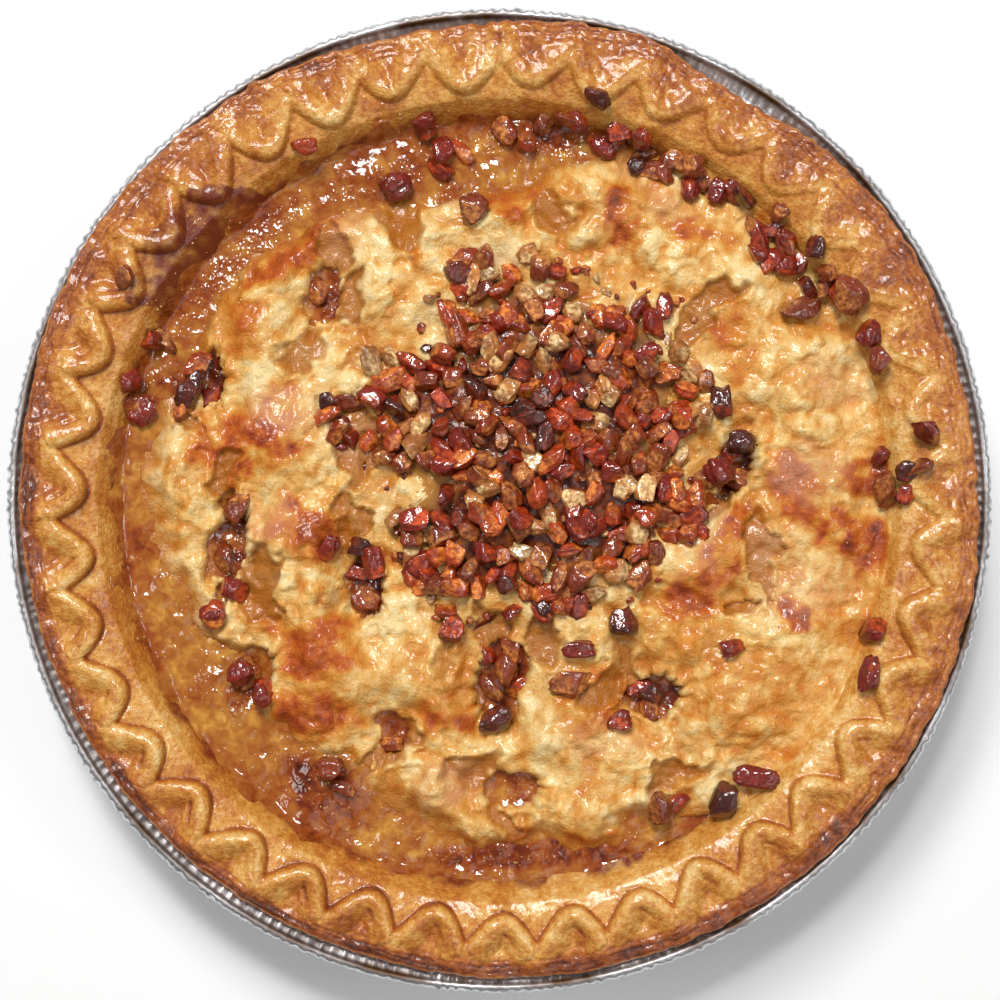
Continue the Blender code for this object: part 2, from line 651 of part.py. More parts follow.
def make_pecans(collection, ground):
    """Loose pecan pieces, each laid along the slope under it and raised until it is just clear."""
    draw = random.Random(PIECE_SEED + 1)
    colours = [(0.11, 0.015, 0.01), (0.3, 0.08, 0.03), (0.2, 0.04, 0.02)]
    skins = [new_material(f"pecan_{index}", colour, 0.3) for index, colour in enumerate(colours)]
    standing = list(ground)
    for number, (place, length, width, heading) in enumerate(PECANS, 1):
        height = PECAN_HEIGHT_SHARE * width
        name = f"pecan_{number:02d}"
        mesh = pecan_mesh(name, (length * MM, width * MM, height * MM), draw)
        spot = plan(place)
        bpy.context.view_layer.update()
        tree = surface_tree(standing)
        under, slope, _, _ = tree.ray_cast(Vector((spot.x, spot.y, ABOVE_PIE)), Vector((0.0, 0.0, -1.0)))
        lie = Vector((0.0, 0.0, 1.0)).rotation_difference(slope).to_matrix()
        lean = draw.uniform(-PECAN_TILT, PECAN_TILT)
        turn = Euler((lean, lean, math.radians(heading))).to_matrix()
        mesh.transform((lie @ turn).to_4x4())
        rest = under.z + PECAN_START * height * MM
        faces = [list(face.vertices) for face in mesh.polygons]
        for _ in range(SETTLE_TRIES):
            shift = Vector((spot.x, spot.y, rest - GAP))
            points = [vert.co + shift for vert in mesh.vertices]
            if not tree.overlap(BVHTree.FromPolygons(points, faces)):
                break
            rest += SETTLE_STEP
        pecan = add_object(name, mesh, collection, skins[number % len(skins)])
        pecan.location = (spot.x, spot.y, rest)
        standing.append(pecan)


def main():
    for thing in list(bpy.data.objects):
        bpy.data.objects.remove(thing)
    pie = new_collection("PeachPralinePie")
    cutters = new_collection("Cutters")
    make_pan(pie)
    crust = make_crust(pie)
    filling = make_filling(pie)
    lid = make_lid(pie)
    heap = make_heap(pie, lid, cutters)
    make_pecans(pie, [crust, filling, lid, heap])


main()
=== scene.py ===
"""Looks of the peach praline pie: foil pan, crimped crust, filling, torn top crust, praline and pecans."""

import math
import random

import bpy
import numpy as np
from mathutils import Matrix, Vector, noise
from mathutils.bvhtree import BVHTree


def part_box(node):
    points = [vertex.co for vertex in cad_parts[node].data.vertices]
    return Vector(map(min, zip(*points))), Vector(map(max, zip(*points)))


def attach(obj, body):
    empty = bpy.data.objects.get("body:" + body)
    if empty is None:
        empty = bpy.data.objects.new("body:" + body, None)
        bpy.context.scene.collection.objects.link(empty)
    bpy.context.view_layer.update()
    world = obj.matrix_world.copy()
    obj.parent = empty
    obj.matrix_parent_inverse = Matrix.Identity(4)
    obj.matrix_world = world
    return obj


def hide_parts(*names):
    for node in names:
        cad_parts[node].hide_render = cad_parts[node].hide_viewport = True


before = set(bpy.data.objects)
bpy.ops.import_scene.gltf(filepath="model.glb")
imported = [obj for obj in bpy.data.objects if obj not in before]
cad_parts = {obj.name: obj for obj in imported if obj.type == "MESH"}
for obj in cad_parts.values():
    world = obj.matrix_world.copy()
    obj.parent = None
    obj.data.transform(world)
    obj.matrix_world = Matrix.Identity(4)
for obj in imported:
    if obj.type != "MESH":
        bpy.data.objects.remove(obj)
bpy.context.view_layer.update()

# ---- Foil pan ----
# A throwaway pie pan pressed from one disc of thin aluminium foil. Its wall and flange are crushed into
# fine pleats as the disc is drawn in, and its edge is rolled over into a bead. Sizes here are in mm.

MM = 0.001
PAN_RADIUS = 124.0
PAN_HEIGHT = 33.0
PAN_BASE_RADIUS = 96.0
PAN_MOUTH_RADIUS = 117.5
PAN_CORNER = 4.0
FOIL = 0.4
GAP = 0.3
BASE_RINGS = (40.0, 80.0)
BEAD_RADIUS = 1.6
PLEATS = 270
COLUMNS_PER_PLEAT = 7
WALL_PLEAT_DEPTH = 0.5
FLANGE_WIDTH = 3.9
FLANGE_RISE = 1.5
FLANGE_BEND = 1.6  # how late the flange turns up
FLANGE_PLEAT_DEPTH = 0.7
BEAD_CURL = (118.0, -155.0)  # degrees that the rolled edge turns through
BEAD_CRUSH = 0.2
WRINKLE_LENGTH = 1.1
NOISE_RING = 100.0  # radius of the ring that the pan's noise runs round
BROWN_RING_RADIUS = 121.6
BROWN_RING_HALF_WIDTH = 1.4


def linear(code):
    """An sRGB hex colour as linear RGBA."""
    shares = [int(code[start:start + 2], 16) / 255.0 for start in (1, 3, 5)]
    return [s / 12.92 if s <= 0.04045 else ((s + 0.055) / 1.055) ** 2.4 for s in shares] + [1.0]


def set_sockets(node, sockets):
    """Sets a node's inputs. Each takes a value or another node's output."""
    for name, value in sockets.items():
        if isinstance(value, bpy.types.NodeSocket):
            node.id_data.links.new(value, node.inputs[name])
        else:
            node.inputs[name].default_value = value


def add_node(tree, kind, sockets, stops=(), out=0, **settings):
    """Adds a shader node and gives its output. stops are a ramp's places and colours."""
    node = tree.nodes.new("ShaderNode" + kind)
    for name, value in settings.items():
        setattr(node, name, value)
    set_sockets(node, sockets)
    if stops:
        ramp = node.color_ramp
        while len(ramp.elements) < len(stops):
            ramp.elements.new(1.0)
        for element, (place, colour) in zip(ramp.elements, stops):
            element.position = place
            element.color = linear(colour)
    return node.outputs[out]


def start_material(name):
    """A new material, its nodes, its surface shader, and each point's place on the object."""
    material = bpy.data.materials.new(name)
    material.use_nodes = True
    tree = material.node_tree
    return material, tree, tree.nodes["Principled BSDF"], add_node(tree, "TexCoord", {}, out="Object")


def lattice(x, y, z, seed):
    """Smooth random values from -1 to 1, one cell a unit."""
    low = [np.floor(axis).astype(np.int64) for axis in (x, y, z)]
    part = [axis - corner for axis, corner in zip((x, y, z), low)]
    fade = [share * share * (3.0 - 2.0 * share) for share in part]
    total = 0.0
    for corner in np.ndindex(2, 2, 2):
        key = seed * 374761393
        weight = 1.0
        for axis, prime in enumerate((73856093, 19349663, 83492791)):
            key = key ^ ((low[axis] + corner[axis]) * prime)
            weight = weight * (fade[axis] if corner[axis] else 1.0 - fade[axis])
        key = (key ^ (key >> 13)) * 1274126177
        total = total + weight * (((key ^ (key >> 16)) & 0xFFFF) / 32767.5 - 1.0)
    return total


def rough(x, y, size, seed, layers=3, z=0.0):
    """Uneven relief from about -1 to 1 whose longest wave is about two sizes long."""
    total = 0.0
    for layer in range(layers):
        finer = 2.0 ** layer
        total = total + lattice(x * finer / size, y * finer / size, z * finer / size, seed + layer) / finer
    return total


def ease(share):
    """A smooth step from 0 to 1."""
    share = np.clip(share, 0.0, 1.0)
    return share * share * (3.0 - 2.0 * share)


def grid_mesh(name, points, wrap=False, keep=None, caps=()):
    """A mesh over rows and columns of points in mm. A cap is (row, its fan's middle)."""
    rows, columns = points.shape[:2]
    index = np.arange(rows * columns).reshape(rows, columns)
    if wrap:
        index = np.concatenate([index, index[:, :1]], axis=1)
    quads = np.stack([index[:-1, :-1], index[1:, :-1], index[1:, 1:], index[:-1, 1:]], axis=-1).reshape(-1, 4)
    if keep is not None:
        quads = quads[keep.reshape(-1)]
    faces = quads.tolist()
    verts = points.reshape(-1, 3)
    for row, middle in caps:
        loop = index[row]
        verts = np.concatenate([verts, [middle]])
        fan = zip(loop[:-1], loop[1:]) if row == 0 else zip(loop[1:], loop[:-1])
        faces += [(len(verts) - 1, start, end) for start, end in fan]
    mesh = bpy.data.meshes.new(name)
    mesh.from_pydata((verts * MM).tolist(), [], faces)
    mesh.shade_smooth()
    return mesh


def paint(mesh, name, values):
    """Stores a number for each point, for the material to read."""
    values = np.concatenate([np.ravel(values), np.zeros(len(mesh.vertices) - np.size(values))])
    mesh.attributes.new(name, "FLOAT", "POINT").data.foreach_set("value", values.astype(np.float32))


def add_piece(name, mesh, material, slot, *nodes):
    """A finished piece that rides with the pie and stands for its solids."""
    piece = bpy.data.objects.new(name, mesh)
    bpy.context.scene.collection.objects.link(piece)
    mesh.materials.append(material)
    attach(piece, "root")
    if nodes:
        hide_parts(*nodes)
    return piece


def round_points(radius, angle, height):
    """Points round the pie's axis."""
    return np.stack([radius * np.cos(angle), radius * np.sin(angle), height + 0.0 * angle], axis=-1)


def turned_rows(profile, angle):
    """A profile of (radius, height) rows turned round the axis."""
    rows = np.array(profile)
    return round_points(rows[:, :1], angle, rows[:, 1:])


def pan_wall_radius(height):
    """Radius of the pan's sloping wall at a height."""
    share = (height - PAN_CORNER) / (PAN_HEIGHT - PAN_CORNER)
    return PAN_BASE_RADIUS + (PAN_MOUTH_RADIUS - PAN_BASE_RADIUS) * share


bead_middle = PAN_RADIUS - BEAD_RADIUS
bead_height = PAN_HEIGHT + 2.0 * FOIL
inner_corner = PAN_BASE_RADIUS - 0.45 * PAN_CORNER
pan_profile = [(ring, FOIL) for ring in (*BASE_RINGS, PAN_BASE_RADIUS - PAN_CORNER)]
pan_profile += [(inner_corner, FOIL + 0.3 * PAN_CORNER), (PAN_BASE_RADIUS, PAN_CORNER)]
pan_profile += [(PAN_MOUTH_RADIUS - 2.0, PAN_HEIGHT - 2.3), (PAN_MOUTH_RADIUS, PAN_HEIGHT + FOIL)]
flange_start = len(pan_profile) - 1
for step in np.linspace(0.6, FLANGE_WIDTH, 7):
    flange_lift = FLANGE_RISE * (step / FLANGE_WIDTH) ** FLANGE_BEND
    pan_profile.append((PAN_MOUTH_RADIUS + step, PAN_HEIGHT + FOIL + flange_lift))
bead_start = len(pan_profile)
for turn in np.linspace(*BEAD_CURL, 15):
    out = BEAD_RADIUS * math.cos(math.radians(turn))
    up = BEAD_RADIUS * math.sin(math.radians(turn))
    pan_profile.append((bead_middle + out, bead_height + up))
bead_end = len(pan_profile)
pan_profile += [(PAN_MOUTH_RADIUS + 1.2 * FOIL, PAN_HEIGHT)]
wall_start = len(pan_profile)
for height in np.linspace(PAN_HEIGHT - 1.0, PAN_CORNER, 6):
    pan_profile.append((pan_wall_radius(height) + 1.2 * FOIL, height))
pan_profile += [(PAN_BASE_RADIUS + 0.6 * FOIL, PAN_CORNER - 1.6)]
pan_profile += [(inner_corner + 0.7 * FOIL, 0.25 * PAN_CORNER)]
pan_profile += [(ring, 0.0) for ring in (PAN_BASE_RADIUS - PAN_CORNER, *reversed(BASE_RINGS))]
pan_angle = np.linspace(0.0, math.tau, PLEATS * COLUMNS_PER_PLEAT, endpoint=False)
pan_points = turned_rows(pan_profile, pan_angle)
around = [NOISE_RING * np.cos(pan_angle), NOISE_RING * np.sin(pan_angle)]
drift = 0.45 * rough(*around, 6.0, 3)
pleat = 2.0 * np.abs(2.0 * ((pan_angle * PLEATS / math.tau + drift) % 1.0) - 1.0) - 1.0
pleat = np.sin(0.5 * math.pi * pleat)
pleat = pleat * (0.65 + 0.35 * rough(*around, 3.0, 5))
outward = np.stack([np.cos(pan_angle), np.sin(pan_angle)], axis=-1)
for row, (radius, height) in enumerate(pan_profile):
    if flange_start < row < bead_start:
        pan_points[row, :, 2] += FLANGE_PLEAT_DEPTH * 0.5 * (pleat - 1.0)
    if bead_start <= row < bead_end:
        crushed = min(1.0, max(0.0, (radius - bead_middle + 0.2) / BEAD_RADIUS))
        fine = pleat + 1.2 * rough(*around, 0.8, 11, 2, z=height)
        pan_points[row, :, :2] += outward * (BEAD_CRUSH * crushed * (fine - 1.6))[:, None]
        pan_points[row, :, 2] += BEAD_CRUSH * crushed * (fine - 1.0)
    if row >= wall_start and height > 0.0:
        rise = height / PAN_HEIGHT
        depth = WALL_PLEAT_DEPTH * (0.25 + 0.75 * rise)
        pan_points[row, :, :2] -= outward * (depth * 0.5 * (1.0 - pleat))[:, None]
pan_mesh = grid_mesh("foil_pan_skin", pan_points, True, caps=((0, (0, 0, FOIL)), (-1, (0, 0, 0))))
pan_rows = np.array(pan_profile)
# The bead's brown ring: baked-on fat and syrup, and also a painted reflection of the golden crust.
on_bead = np.exp(-((pan_rows[:, 0] - BROWN_RING_RADIUS) / BROWN_RING_HALF_WIDTH) ** 2)
on_bead = on_bead * (pan_rows[:, 1] > bead_height)
browning_reflection_and_shade = on_bead[:, None] * np.clip(0.75 + 0.5 * rough(*around, 9.0, 15), 0.0, 1.0)
on_flange = (np.arange(len(pan_profile)) > flange_start) & (np.arange(len(pan_profile)) < bead_start)
# Painted shade: the flange is darkened in its pleat valleys.
browning_reflection_and_shade = np.maximum(browning_reflection_and_shade, 0.7 * on_flange[:, None] * ease(0.1 - 1.1 * pleat))
paint(pan_mesh, "browning_reflection_and_shade", browning_reflection_and_shade)

# Rolled aluminium foil: a bright grey mirror broken by tiny wrinkles and rolling lines, browned in the oven
# by fat and syrup along the bead. That brown ring is also a painted reflection of the crust, and the flange's
# pleat valleys are darkened as painted shade.
foil, tree, skin, place = start_material("rolled_aluminium_foil")
wrinkle = add_node(tree, "TexNoise", {"Vector": place, "Scale": 1.0 / (WRINKLE_LENGTH * MM), "Detail": 4.0})
tarnish = add_node(tree, "ValToRGB", {"Fac": wrinkle}, stops=[(0.25, "#CFD0D3"), (0.7, "#F2F2F4")])
gloss = add_node(tree, "MapRange", {"Value": wrinkle, "To Min": 0.24, "To Max": 0.44})
dents = add_node(tree, "Bump", {"Height": wrinkle, "Strength": 0.5, "Distance": 0.15 * MM})
browning_and_shade_value = add_node(tree, "Attribute", {}, out="Fac", attribute_name="browning_reflection_and_shade")
browned_and_shaded = add_node(tree, "MixRGB", {"Fac": browning_and_shade_value, "Color1": tarnish, "Color2": linear("#644424")})
dulled = add_node(tree, "Math", {0: browning_and_shade_value, 1: 0.3, 2: gloss}, operation="MULTIPLY_ADD")
set_sockets(skin, {"Base Color": browned_and_shaded, "Metallic": 1.0, "Roughness": dulled, "Normal": dents})
add_piece("foil_pan_skin", pan_mesh, foil, "foil", "foil_pan")

# ---- Bottom crust ----
# Shortcrust pastry pressed into the pan. Its wide rim is crimped by a machine into a row of skewed folds,
# each with a slit beside its steep leg, and the rolled layers show in the flaky band outside them.

CRIMPS = 39
COLUMNS_PER_CRIMP = 32
RIM_ROWS = 60
FIRST_CUSP = math.radians(265.0)
CRIMP_SKEW = 1.36
FOOT_RADIUS = 95.8
FILL_LEVEL = 27.0
FILL_RIM = 1.2
SLOPE_MIDDLE = (98.6, 31.0)
SLOPE_TOP = (101.0, 34.4)
RIDGE_INNER_RADIUS = 105.0
RIDGE_OUTER_RADIUS = 114.6
RIDGE_HALF_WIDTH = 2.5
RIDGE_HEIGHT = 2.4
SHALLOWEST_CREST = 0.35
CRIMP_MEAN = 0.66
CRIMP_SWING = 0.34
APEX_DROP = 1.9
CUSP_DROP = 0.4
HOLLOW_DROP = 1.3
BAND_HEIGHT = 37.0
BAND_RADIUS = 117.4
EDGE_ROUND = 0.9
LIP_RADIUS = 119.0
RIM_WANDER = 0.5
WANDERS_A_TURN = 12.0
RIM_EDGE = [  # degrees, outer radius
    (10, 119.6), (40, 120.9), (60, 117.6), (75, 121.6), (100, 119.1), (120, 120.9), (145, 122.1),
    (176, 120.4), (205, 119.1), (250, 118.6), (270, 119.6), (290, 120.1), (320, 120.9), (346, 120.9),
]
FOLD_BACK_WIDTH = 5.0  # how far a fold falls away towards the band
CREASE_AWAY = 2.7  # from the ridge's middle, beside its steep leg
CREASE_HALF_WIDTH = 0.5
CREASE_DEPTH = 1.2
FOOT_LINE_DEPTH = 0.5  # of the line that the crimping wheel pressed at a fold's foot
LEAF_LINE_DEPTH = 0.4
FLAKE_DEPTH = 0.38
FLAKE_INSETS = (0.9, 2.0, 3.2, 4.6)  # of the layers' torn ends, from the outer edge
FLAKE_LINE = 0.28
EDGE_TURNS = (25.0, 50.0, 75.0, 95.0)  # degrees, down over the rounded edge
TUCK = 0.3  # share of its height that a fold loses where it starts under the one before
CAVITY_WALL = (92.0, 9.0)  # radius and height
CAVITY_FLOOR = (88.0, FOIL + GAP + 4.0)
UPPER_WALL = 30.0
OFF_THE_FOIL = 0.55
RIM_RADIUS = 110.0  # of the ring that the rim's noise runs round
SEARCH_COLUMNS = 24  # how far to each side the nearest point of the ridge can lie
# Sides of the rim, in degrees round the pie.
DEEP_CRIMP_SIDE = 232.0
RAGGED_SIDE = 75.0
FLAKY_SIDE = 55.0
ROLLED_FLAT_SIDE = 33.0
BROWNER_SIDE = 212.0
BAND_DARK_SIDE = 238.0
TOP_DARK_SIDE = 68.0
DARKER_RIM_TOP_SIDE = 84.0
LESS_BAKED_SIDE = 138.0
SYRUP_FREE_SIDE = 345.0  # where the top crust meets the rim
PALE_SLOPE_SIDE = 350.0
SPILL_SIDE = 140.0  # where the syrup boiled over onto the folds
SPILL_START = 98.0
SPILL_REACH = 12.5
SPILL_HALF_TURN = 0.17


def outline_radius(stations, angle):
    """The radius of a closed outline at an angle, eased from station to station."""
    turns = np.array([stations[-1][0] - 360.0] + [turn for turn, _ in stations] + [stations[0][0] + 360.0])
    radii = np.array([stations[-1][1]] + [radius for _, radius in stations] + [stations[0][1]])
    turn = np.degrees(angle) % 360.0
    before = np.clip(np.searchsorted(turns, turn, side="right") - 1, 0, len(turns) - 2)
    share = ease((turn - turns[before]) / (turns[before + 1] - turns[before]))
    return radii[before] + (radii[before + 1] - radii[before]) * share


def bell(value):
    """1 at zero, falling off smoothly to both sides."""
    return np.exp(-value * value)


def facing_side(angle, side):
    """From 1 on one side of the pie, given in degrees, to -1 on the far side."""
    return np.cos(angle - math.radians(side))


def crust_slope(away):
    """Height of the crust's inner slope, from the syrup up to the folds."""
    return np.interp(away, [FOOT_RADIUS, SLOPE_MIDDLE[0], SLOPE_TOP[0]],
                     [FILL_LEVEL - FILL_RIM, SLOPE_MIDDLE[1], SLOPE_TOP[1]])


rim_angle = FIRST_CUSP + np.linspace(0.0, math.tau, CRIMPS * COLUMNS_PER_CRIMP, endpoint=False)
along = (rim_angle - FIRST_CUSP) * CRIMPS / math.tau % 1.0
draw = random.Random(41)
crimp_changes = [(draw.uniform(-0.14, 0.16), draw.uniform(0.86, 1.05), draw.uniform(0.7, 1.12))
                 for _ in range(CRIMPS)]
skew_change, crimp_reach, crimp_swell = np.repeat(np.array(crimp_changes), COLUMNS_PER_CRIMP, axis=0).T
apex = np.sin(math.pi * along ** (CRIMP_SKEW + skew_change)) * crimp_reach
strength = CRIMP_MEAN + CRIMP_SWING * facing_side(rim_angle, DEEP_CRIMP_SIDE)
spots = [Vector((WANDERS_A_TURN * math.cos(a), WANDERS_A_TURN * math.sin(a), 0.0)) for a in rim_angle]
wander = RIM_WANDER * np.array([noise.noise(spot) for spot in spots])
ridge = RIDGE_OUTER_RADIUS - (RIDGE_OUTER_RADIUS - RIDGE_INNER_RADIUS) * apex + wander
ring_x = RIM_RADIUS * np.cos(rim_angle)
ring_y = RIM_RADIUS * np.sin(rim_angle)
ragged = 0.35 + 0.35 * ease(0.5 + 0.5 * facing_side(rim_angle, RAGGED_SIDE))
edge = outline_radius(RIM_EDGE, rim_angle) + ragged * rough(ring_x, ring_y, 3.5, 21)
share = np.linspace(0.0, 1.0, RIM_ROWS)[:, None]
radius = FOOT_RADIUS + (edge - EDGE_ROUND - FOOT_RADIUS) * share

# How far each point lies from the winding ridge, and beside which part of a crimp.
nearest = np.full(radius.shape, 1e9)
nearest_along = np.zeros(radius.shape)
column_step = RIM_RADIUS * math.tau / len(rim_angle)
for shift in range(-SEARCH_COLUMNS, SEARCH_COLUMNS + 1):
    far = np.hypot(np.roll(ridge, -shift) - radius, shift * column_step)
    closer = far < nearest
    nearest = np.where(closer, far, nearest)
    nearest_along = np.where(closer, np.roll(along, -shift), nearest_along)

# The folds: steep towards the pie's middle, falling away gently towards the flat band outside them.
within = radius > ridge
band = BAND_HEIGHT + wander
shoulder = band - CUSP_DROP - (APEX_DROP - CUSP_DROP) * apex
up_slope = np.clip((radius - SLOPE_TOP[0]) / (ridge - RIDGE_HALF_WIDTH - SLOPE_TOP[0]), 0.0, 1.0)
inner_base = crust_slope(radius) + (shoulder - SLOPE_TOP[1]) * (1.0 - (1.0 - up_slope) ** 2)
hollow = band - HOLLOW_DROP * strength * apex
band_start = np.maximum(BAND_RADIUS, ridge + 1.1 * RIDGE_HALF_WIDTH)
to_band = (radius - ridge - RIDGE_HALF_WIDTH) / (band_start - ridge - RIDGE_HALF_WIDTH)
outer_base = hollow + (band - hollow) * ease(to_band)
crest = band + RIDGE_HEIGHT * (SHALLOWEST_CREST + (1.0 - SHALLOWEST_CREST) * strength)
crest = crest - RIDGE_HEIGHT * (1.0 - crimp_swell) * apex
crest = crest + 0.35 * rough(ring_x, ring_y, 9.0, 25, 2)
base = np.where(within, outer_base, inner_base)
steep_side = np.sqrt(np.clip(1.0 - (nearest / (RIDGE_HALF_WIDTH + 0.15)) ** 2, 0.0, 1.0)) ** 0.85
gentle_side = 1.0 - np.clip(nearest / FOLD_BACK_WIDTH, 0.0, 1.0) ** 1.6
fold = np.where(within, gentle_side, steep_side)
tucked = 1.0 - TUCK * (1.0 - ease(nearest_along / 0.35))
rolled_flat = ease(0.5 + 1.6 * (facing_side(rim_angle, ROLLED_FLAT_SIDE) - 0.9))
height = base + (crest - base) * fold * tucked * (1.0 - 0.55 * rolled_flat)
shaded_foot_line = bell((nearest - RIDGE_HALF_WIDTH - 0.1) / 0.34) * (1.0 - within) * ease(1.5 * strength - 0.45)
height -= FOOT_LINE_DEPTH * shaded_foot_line

# The slit beside each fold's steep leg, the ends of the rolled layers, and the crumbly skin.
steep_leg = ease((nearest_along - 0.52) / 0.12) * ease((0.95 - nearest_along) / 0.12)
uneven_crease = 0.6 + 0.5 * rough(ring_x, ring_y, 5.0, 27, 2)
crease = bell((nearest - CREASE_AWAY) / CREASE_HALF_WIDTH) * within * steep_leg * strength * uneven_crease
height -= CREASE_DEPTH * crease
flaky = ease(0.35 + 0.65 * facing_side(rim_angle, FLAKY_SIDE))
leaf_line = bell(rough(1.6 * ring_x, 1.6 * ring_y, 6.0, 81, 3, z=radius / 3.0) / 0.07)
leaf_line = leaf_line * ease(1.4 * rough(1.2 * ring_x, 1.2 * ring_y, 7.0, 83, 2, z=radius / 5.0) + 0.3)
leaf_line = leaf_line * (0.25 + 0.75 * flaky) * ease((radius - 106.0) / 4.0)
height -= LEAF_LINE_DEPTH * leaf_line
flake = np.zeros(radius.shape)
for layer, inset in enumerate(FLAKE_INSETS):
    line = edge - inset - 0.5 * rough(ring_x, ring_y, 14.0, 31 + layer, z=3.0 * layer)
    shown = ease(1.2 * rough(ring_x, ring_y, 7.0, 41 + layer, z=5.0 * layer) + 0.6)
    flake += bell((radius - line) / FLAKE_LINE) * shown * ease((radius - 113.5) / 2.0)
height -= FLAKE_DEPTH * flake
rim_x = radius * np.cos(rim_angle)
rim_y = radius * np.sin(rim_angle)
crumbly = ease((radius - 113.0) / 4.0)
pad = within * (1.0 - 0.6 * fold) * ease((116.0 - radius) / 3.0)
pad_wrinkles = rough(rim_angle * 60.0, radius * 0.35, 1.1, 53, 2)
height += (0.18 + 0.16 * crumbly) * rough(rim_x, rim_y, 3.0, 51, 2)
height += (0.11 + 0.08 * crumbly) * rough(rim_x, rim_y, 1.15, 57, 2)
height += 0.25 * rough(rim_x, rim_y, 8.0, 55, 2) + 0.28 * pad * pad_wrinkles

# The sides: a rounded edge, then down in broken leaves to the flange, and on inside the pan.
crust_rows = list(round_points(radius, rim_angle, height))
layered = rough(ring_x, ring_y, 2.2, 61, 2)
top_height = height[-1]
side_start = edge - EDGE_ROUND
for turn in EDGE_TURNS:
    out = side_start + EDGE_ROUND * math.sin(math.radians(turn))
    drop = EDGE_ROUND * (1.0 - math.cos(math.radians(turn)))
    crust_rows.append(round_points(out, rim_angle, top_height - drop))
lip_radius = np.minimum(LIP_RADIUS, edge - EDGE_ROUND)
lip_height = PAN_HEIGHT + FOIL + 1.5 * GAP
for step in range(1, 7):
    share = step / 6.0
    leaf = (0.35 if step % 2 else -0.25) * ease(rough(ring_x, ring_y, 6.0, 65, z=2.0 * step) + 0.6)
    leaf = leaf * (step < 6)
    out = edge + (lip_radius - edge) * share + leaf
    low = top_height - EDGE_ROUND
    crust_rows.append(round_points(out, rim_angle, low + (lip_height - low) * share))
hidden_profile = [
    (PAN_MOUTH_RADIUS - GAP, PAN_HEIGHT + FOIL + GAP),
    (pan_wall_radius(UPPER_WALL) - OFF_THE_FOIL, UPPER_WALL),
    (pan_wall_radius(PAN_CORNER) - OFF_THE_FOIL, PAN_CORNER + GAP),
    (PAN_BASE_RADIUS - PAN_CORNER - OFF_THE_FOIL, FOIL + GAP),
]
crust_points = np.concatenate([turned_rows([CAVITY_FLOOR, CAVITY_WALL], rim_angle), np.stack(crust_rows),
                               turned_rows(hidden_profile, rim_angle)])
caps = ((0, (0, 0, CAVITY_FLOOR[1])), (-1, (0, 0, FOIL + GAP)))
crust_mesh = grid_mesh("crimped_crust", crust_points, True, caps=caps)

# How dark each point is baked, from 0, pale, to 1, scorched, with painted light and shade on the folds, in
# the hollows and in the grooves.
lower_left = ease(0.5 + 0.5 * facing_side(rim_angle, BROWNER_SIDE))
upper_right = ease(0.5 + 0.5 * facing_side(rim_angle, TOP_DARK_SIDE))
in_trough = ease(0.5 - 0.8 * facing_side(rim_angle, SYRUP_FREE_SIDE))
bake_and_shade = 0.32 + 0.05 * lower_left + 0.02 * upper_right + 0.09 * rough(rim_x, rim_y, 14.0, 71, 2)
bake_and_shade = bake_and_shade + 0.11 * rough(rim_x, rim_y, 3.4, 73, 2)
# Painted light and shade: paler on the folds' inner legs and crests, darker in the hollows outside them.
bake_and_shade = bake_and_shade - 0.10 * fold * (1.0 - within) + 0.10 * within * (1.0 - fold) * apex + 0.10 * pad * pad_wrinkles
low_side = ease(0.4 + 0.8 * facing_side(rim_angle, BAND_DARK_SIDE))
bake_and_shade = bake_and_shade + (0.05 + 0.29 * low_side) * ease((radius - 114.4) / 2.6)
bake_and_shade = bake_and_shade + 0.06 * ease((radius - edge + 1.6) / 1.4)
# Painted shade: the foot lines, the slits, the flake lines and the leaf lines are darkened, as if shade lay
# in them.
bake_and_shade = bake_and_shade + 0.42 * shaded_foot_line + 0.32 * crease + 0.20 * np.clip(flake, 0.0, 1.0) + 0.16 * leaf_line
# Darker towards the top of the rim.
bake_and_shade = bake_and_shade + 0.10 * ease(0.2 + 0.8 * facing_side(rim_angle, DARKER_RIM_TOP_SIDE))
bake_and_shade = bake_and_shade - 0.07 * ease(0.2 + 0.9 * facing_side(rim_angle, LESS_BAKED_SIDE))
bake_and_shade = bake_and_shade + 0.16 * in_trough * ease((99.5 - radius) / 3.5)
# Painted light: the inner slope on the right is paler, as if lit.
painted_light_side = ease(0.5 + 1.2 * facing_side(rim_angle, PALE_SLOPE_SIDE))
bake_and_shade = bake_and_shade - 0.10 * painted_light_side * ease((107.0 - radius) / 4.0)
hidden_before = np.full((2, len(rim_angle)), 0.5)
side_rows = len(crust_points) - len(hidden_before) - RIM_ROWS
side_bake = np.full((side_rows, len(rim_angle)), 0.55) + 0.1 * layered
paint(crust_mesh, "bake_and_shade", np.concatenate([hidden_before, bake_and_shade, side_bake]))

# Where syrup stained the crust, and boiled over onto the folds.
spill_turn = (rim_angle - math.radians(SPILL_SIDE) + math.pi) % math.tau - math.pi
spill_turn = spill_turn + 0.07 * rough(rim_x, rim_y, 5.0, 79, 3)
spilled = ease(1.6 - np.abs(spill_turn) / SPILL_HALF_TURN)
spill_limit = SPILL_START + SPILL_REACH * spilled + 1.4 * rough(rim_x, rim_y, 5.0, 75)
stain = ease((spill_limit - radius) / 1.6) * (0.8 + 0.5 * rough(rim_x, rim_y, 2.5, 77))
stain = np.clip(stain, 0.0, 1.0)
paint(crust_mesh, "stain", np.concatenate([hidden_before * 0.0, stain, side_bake * 0.0]))

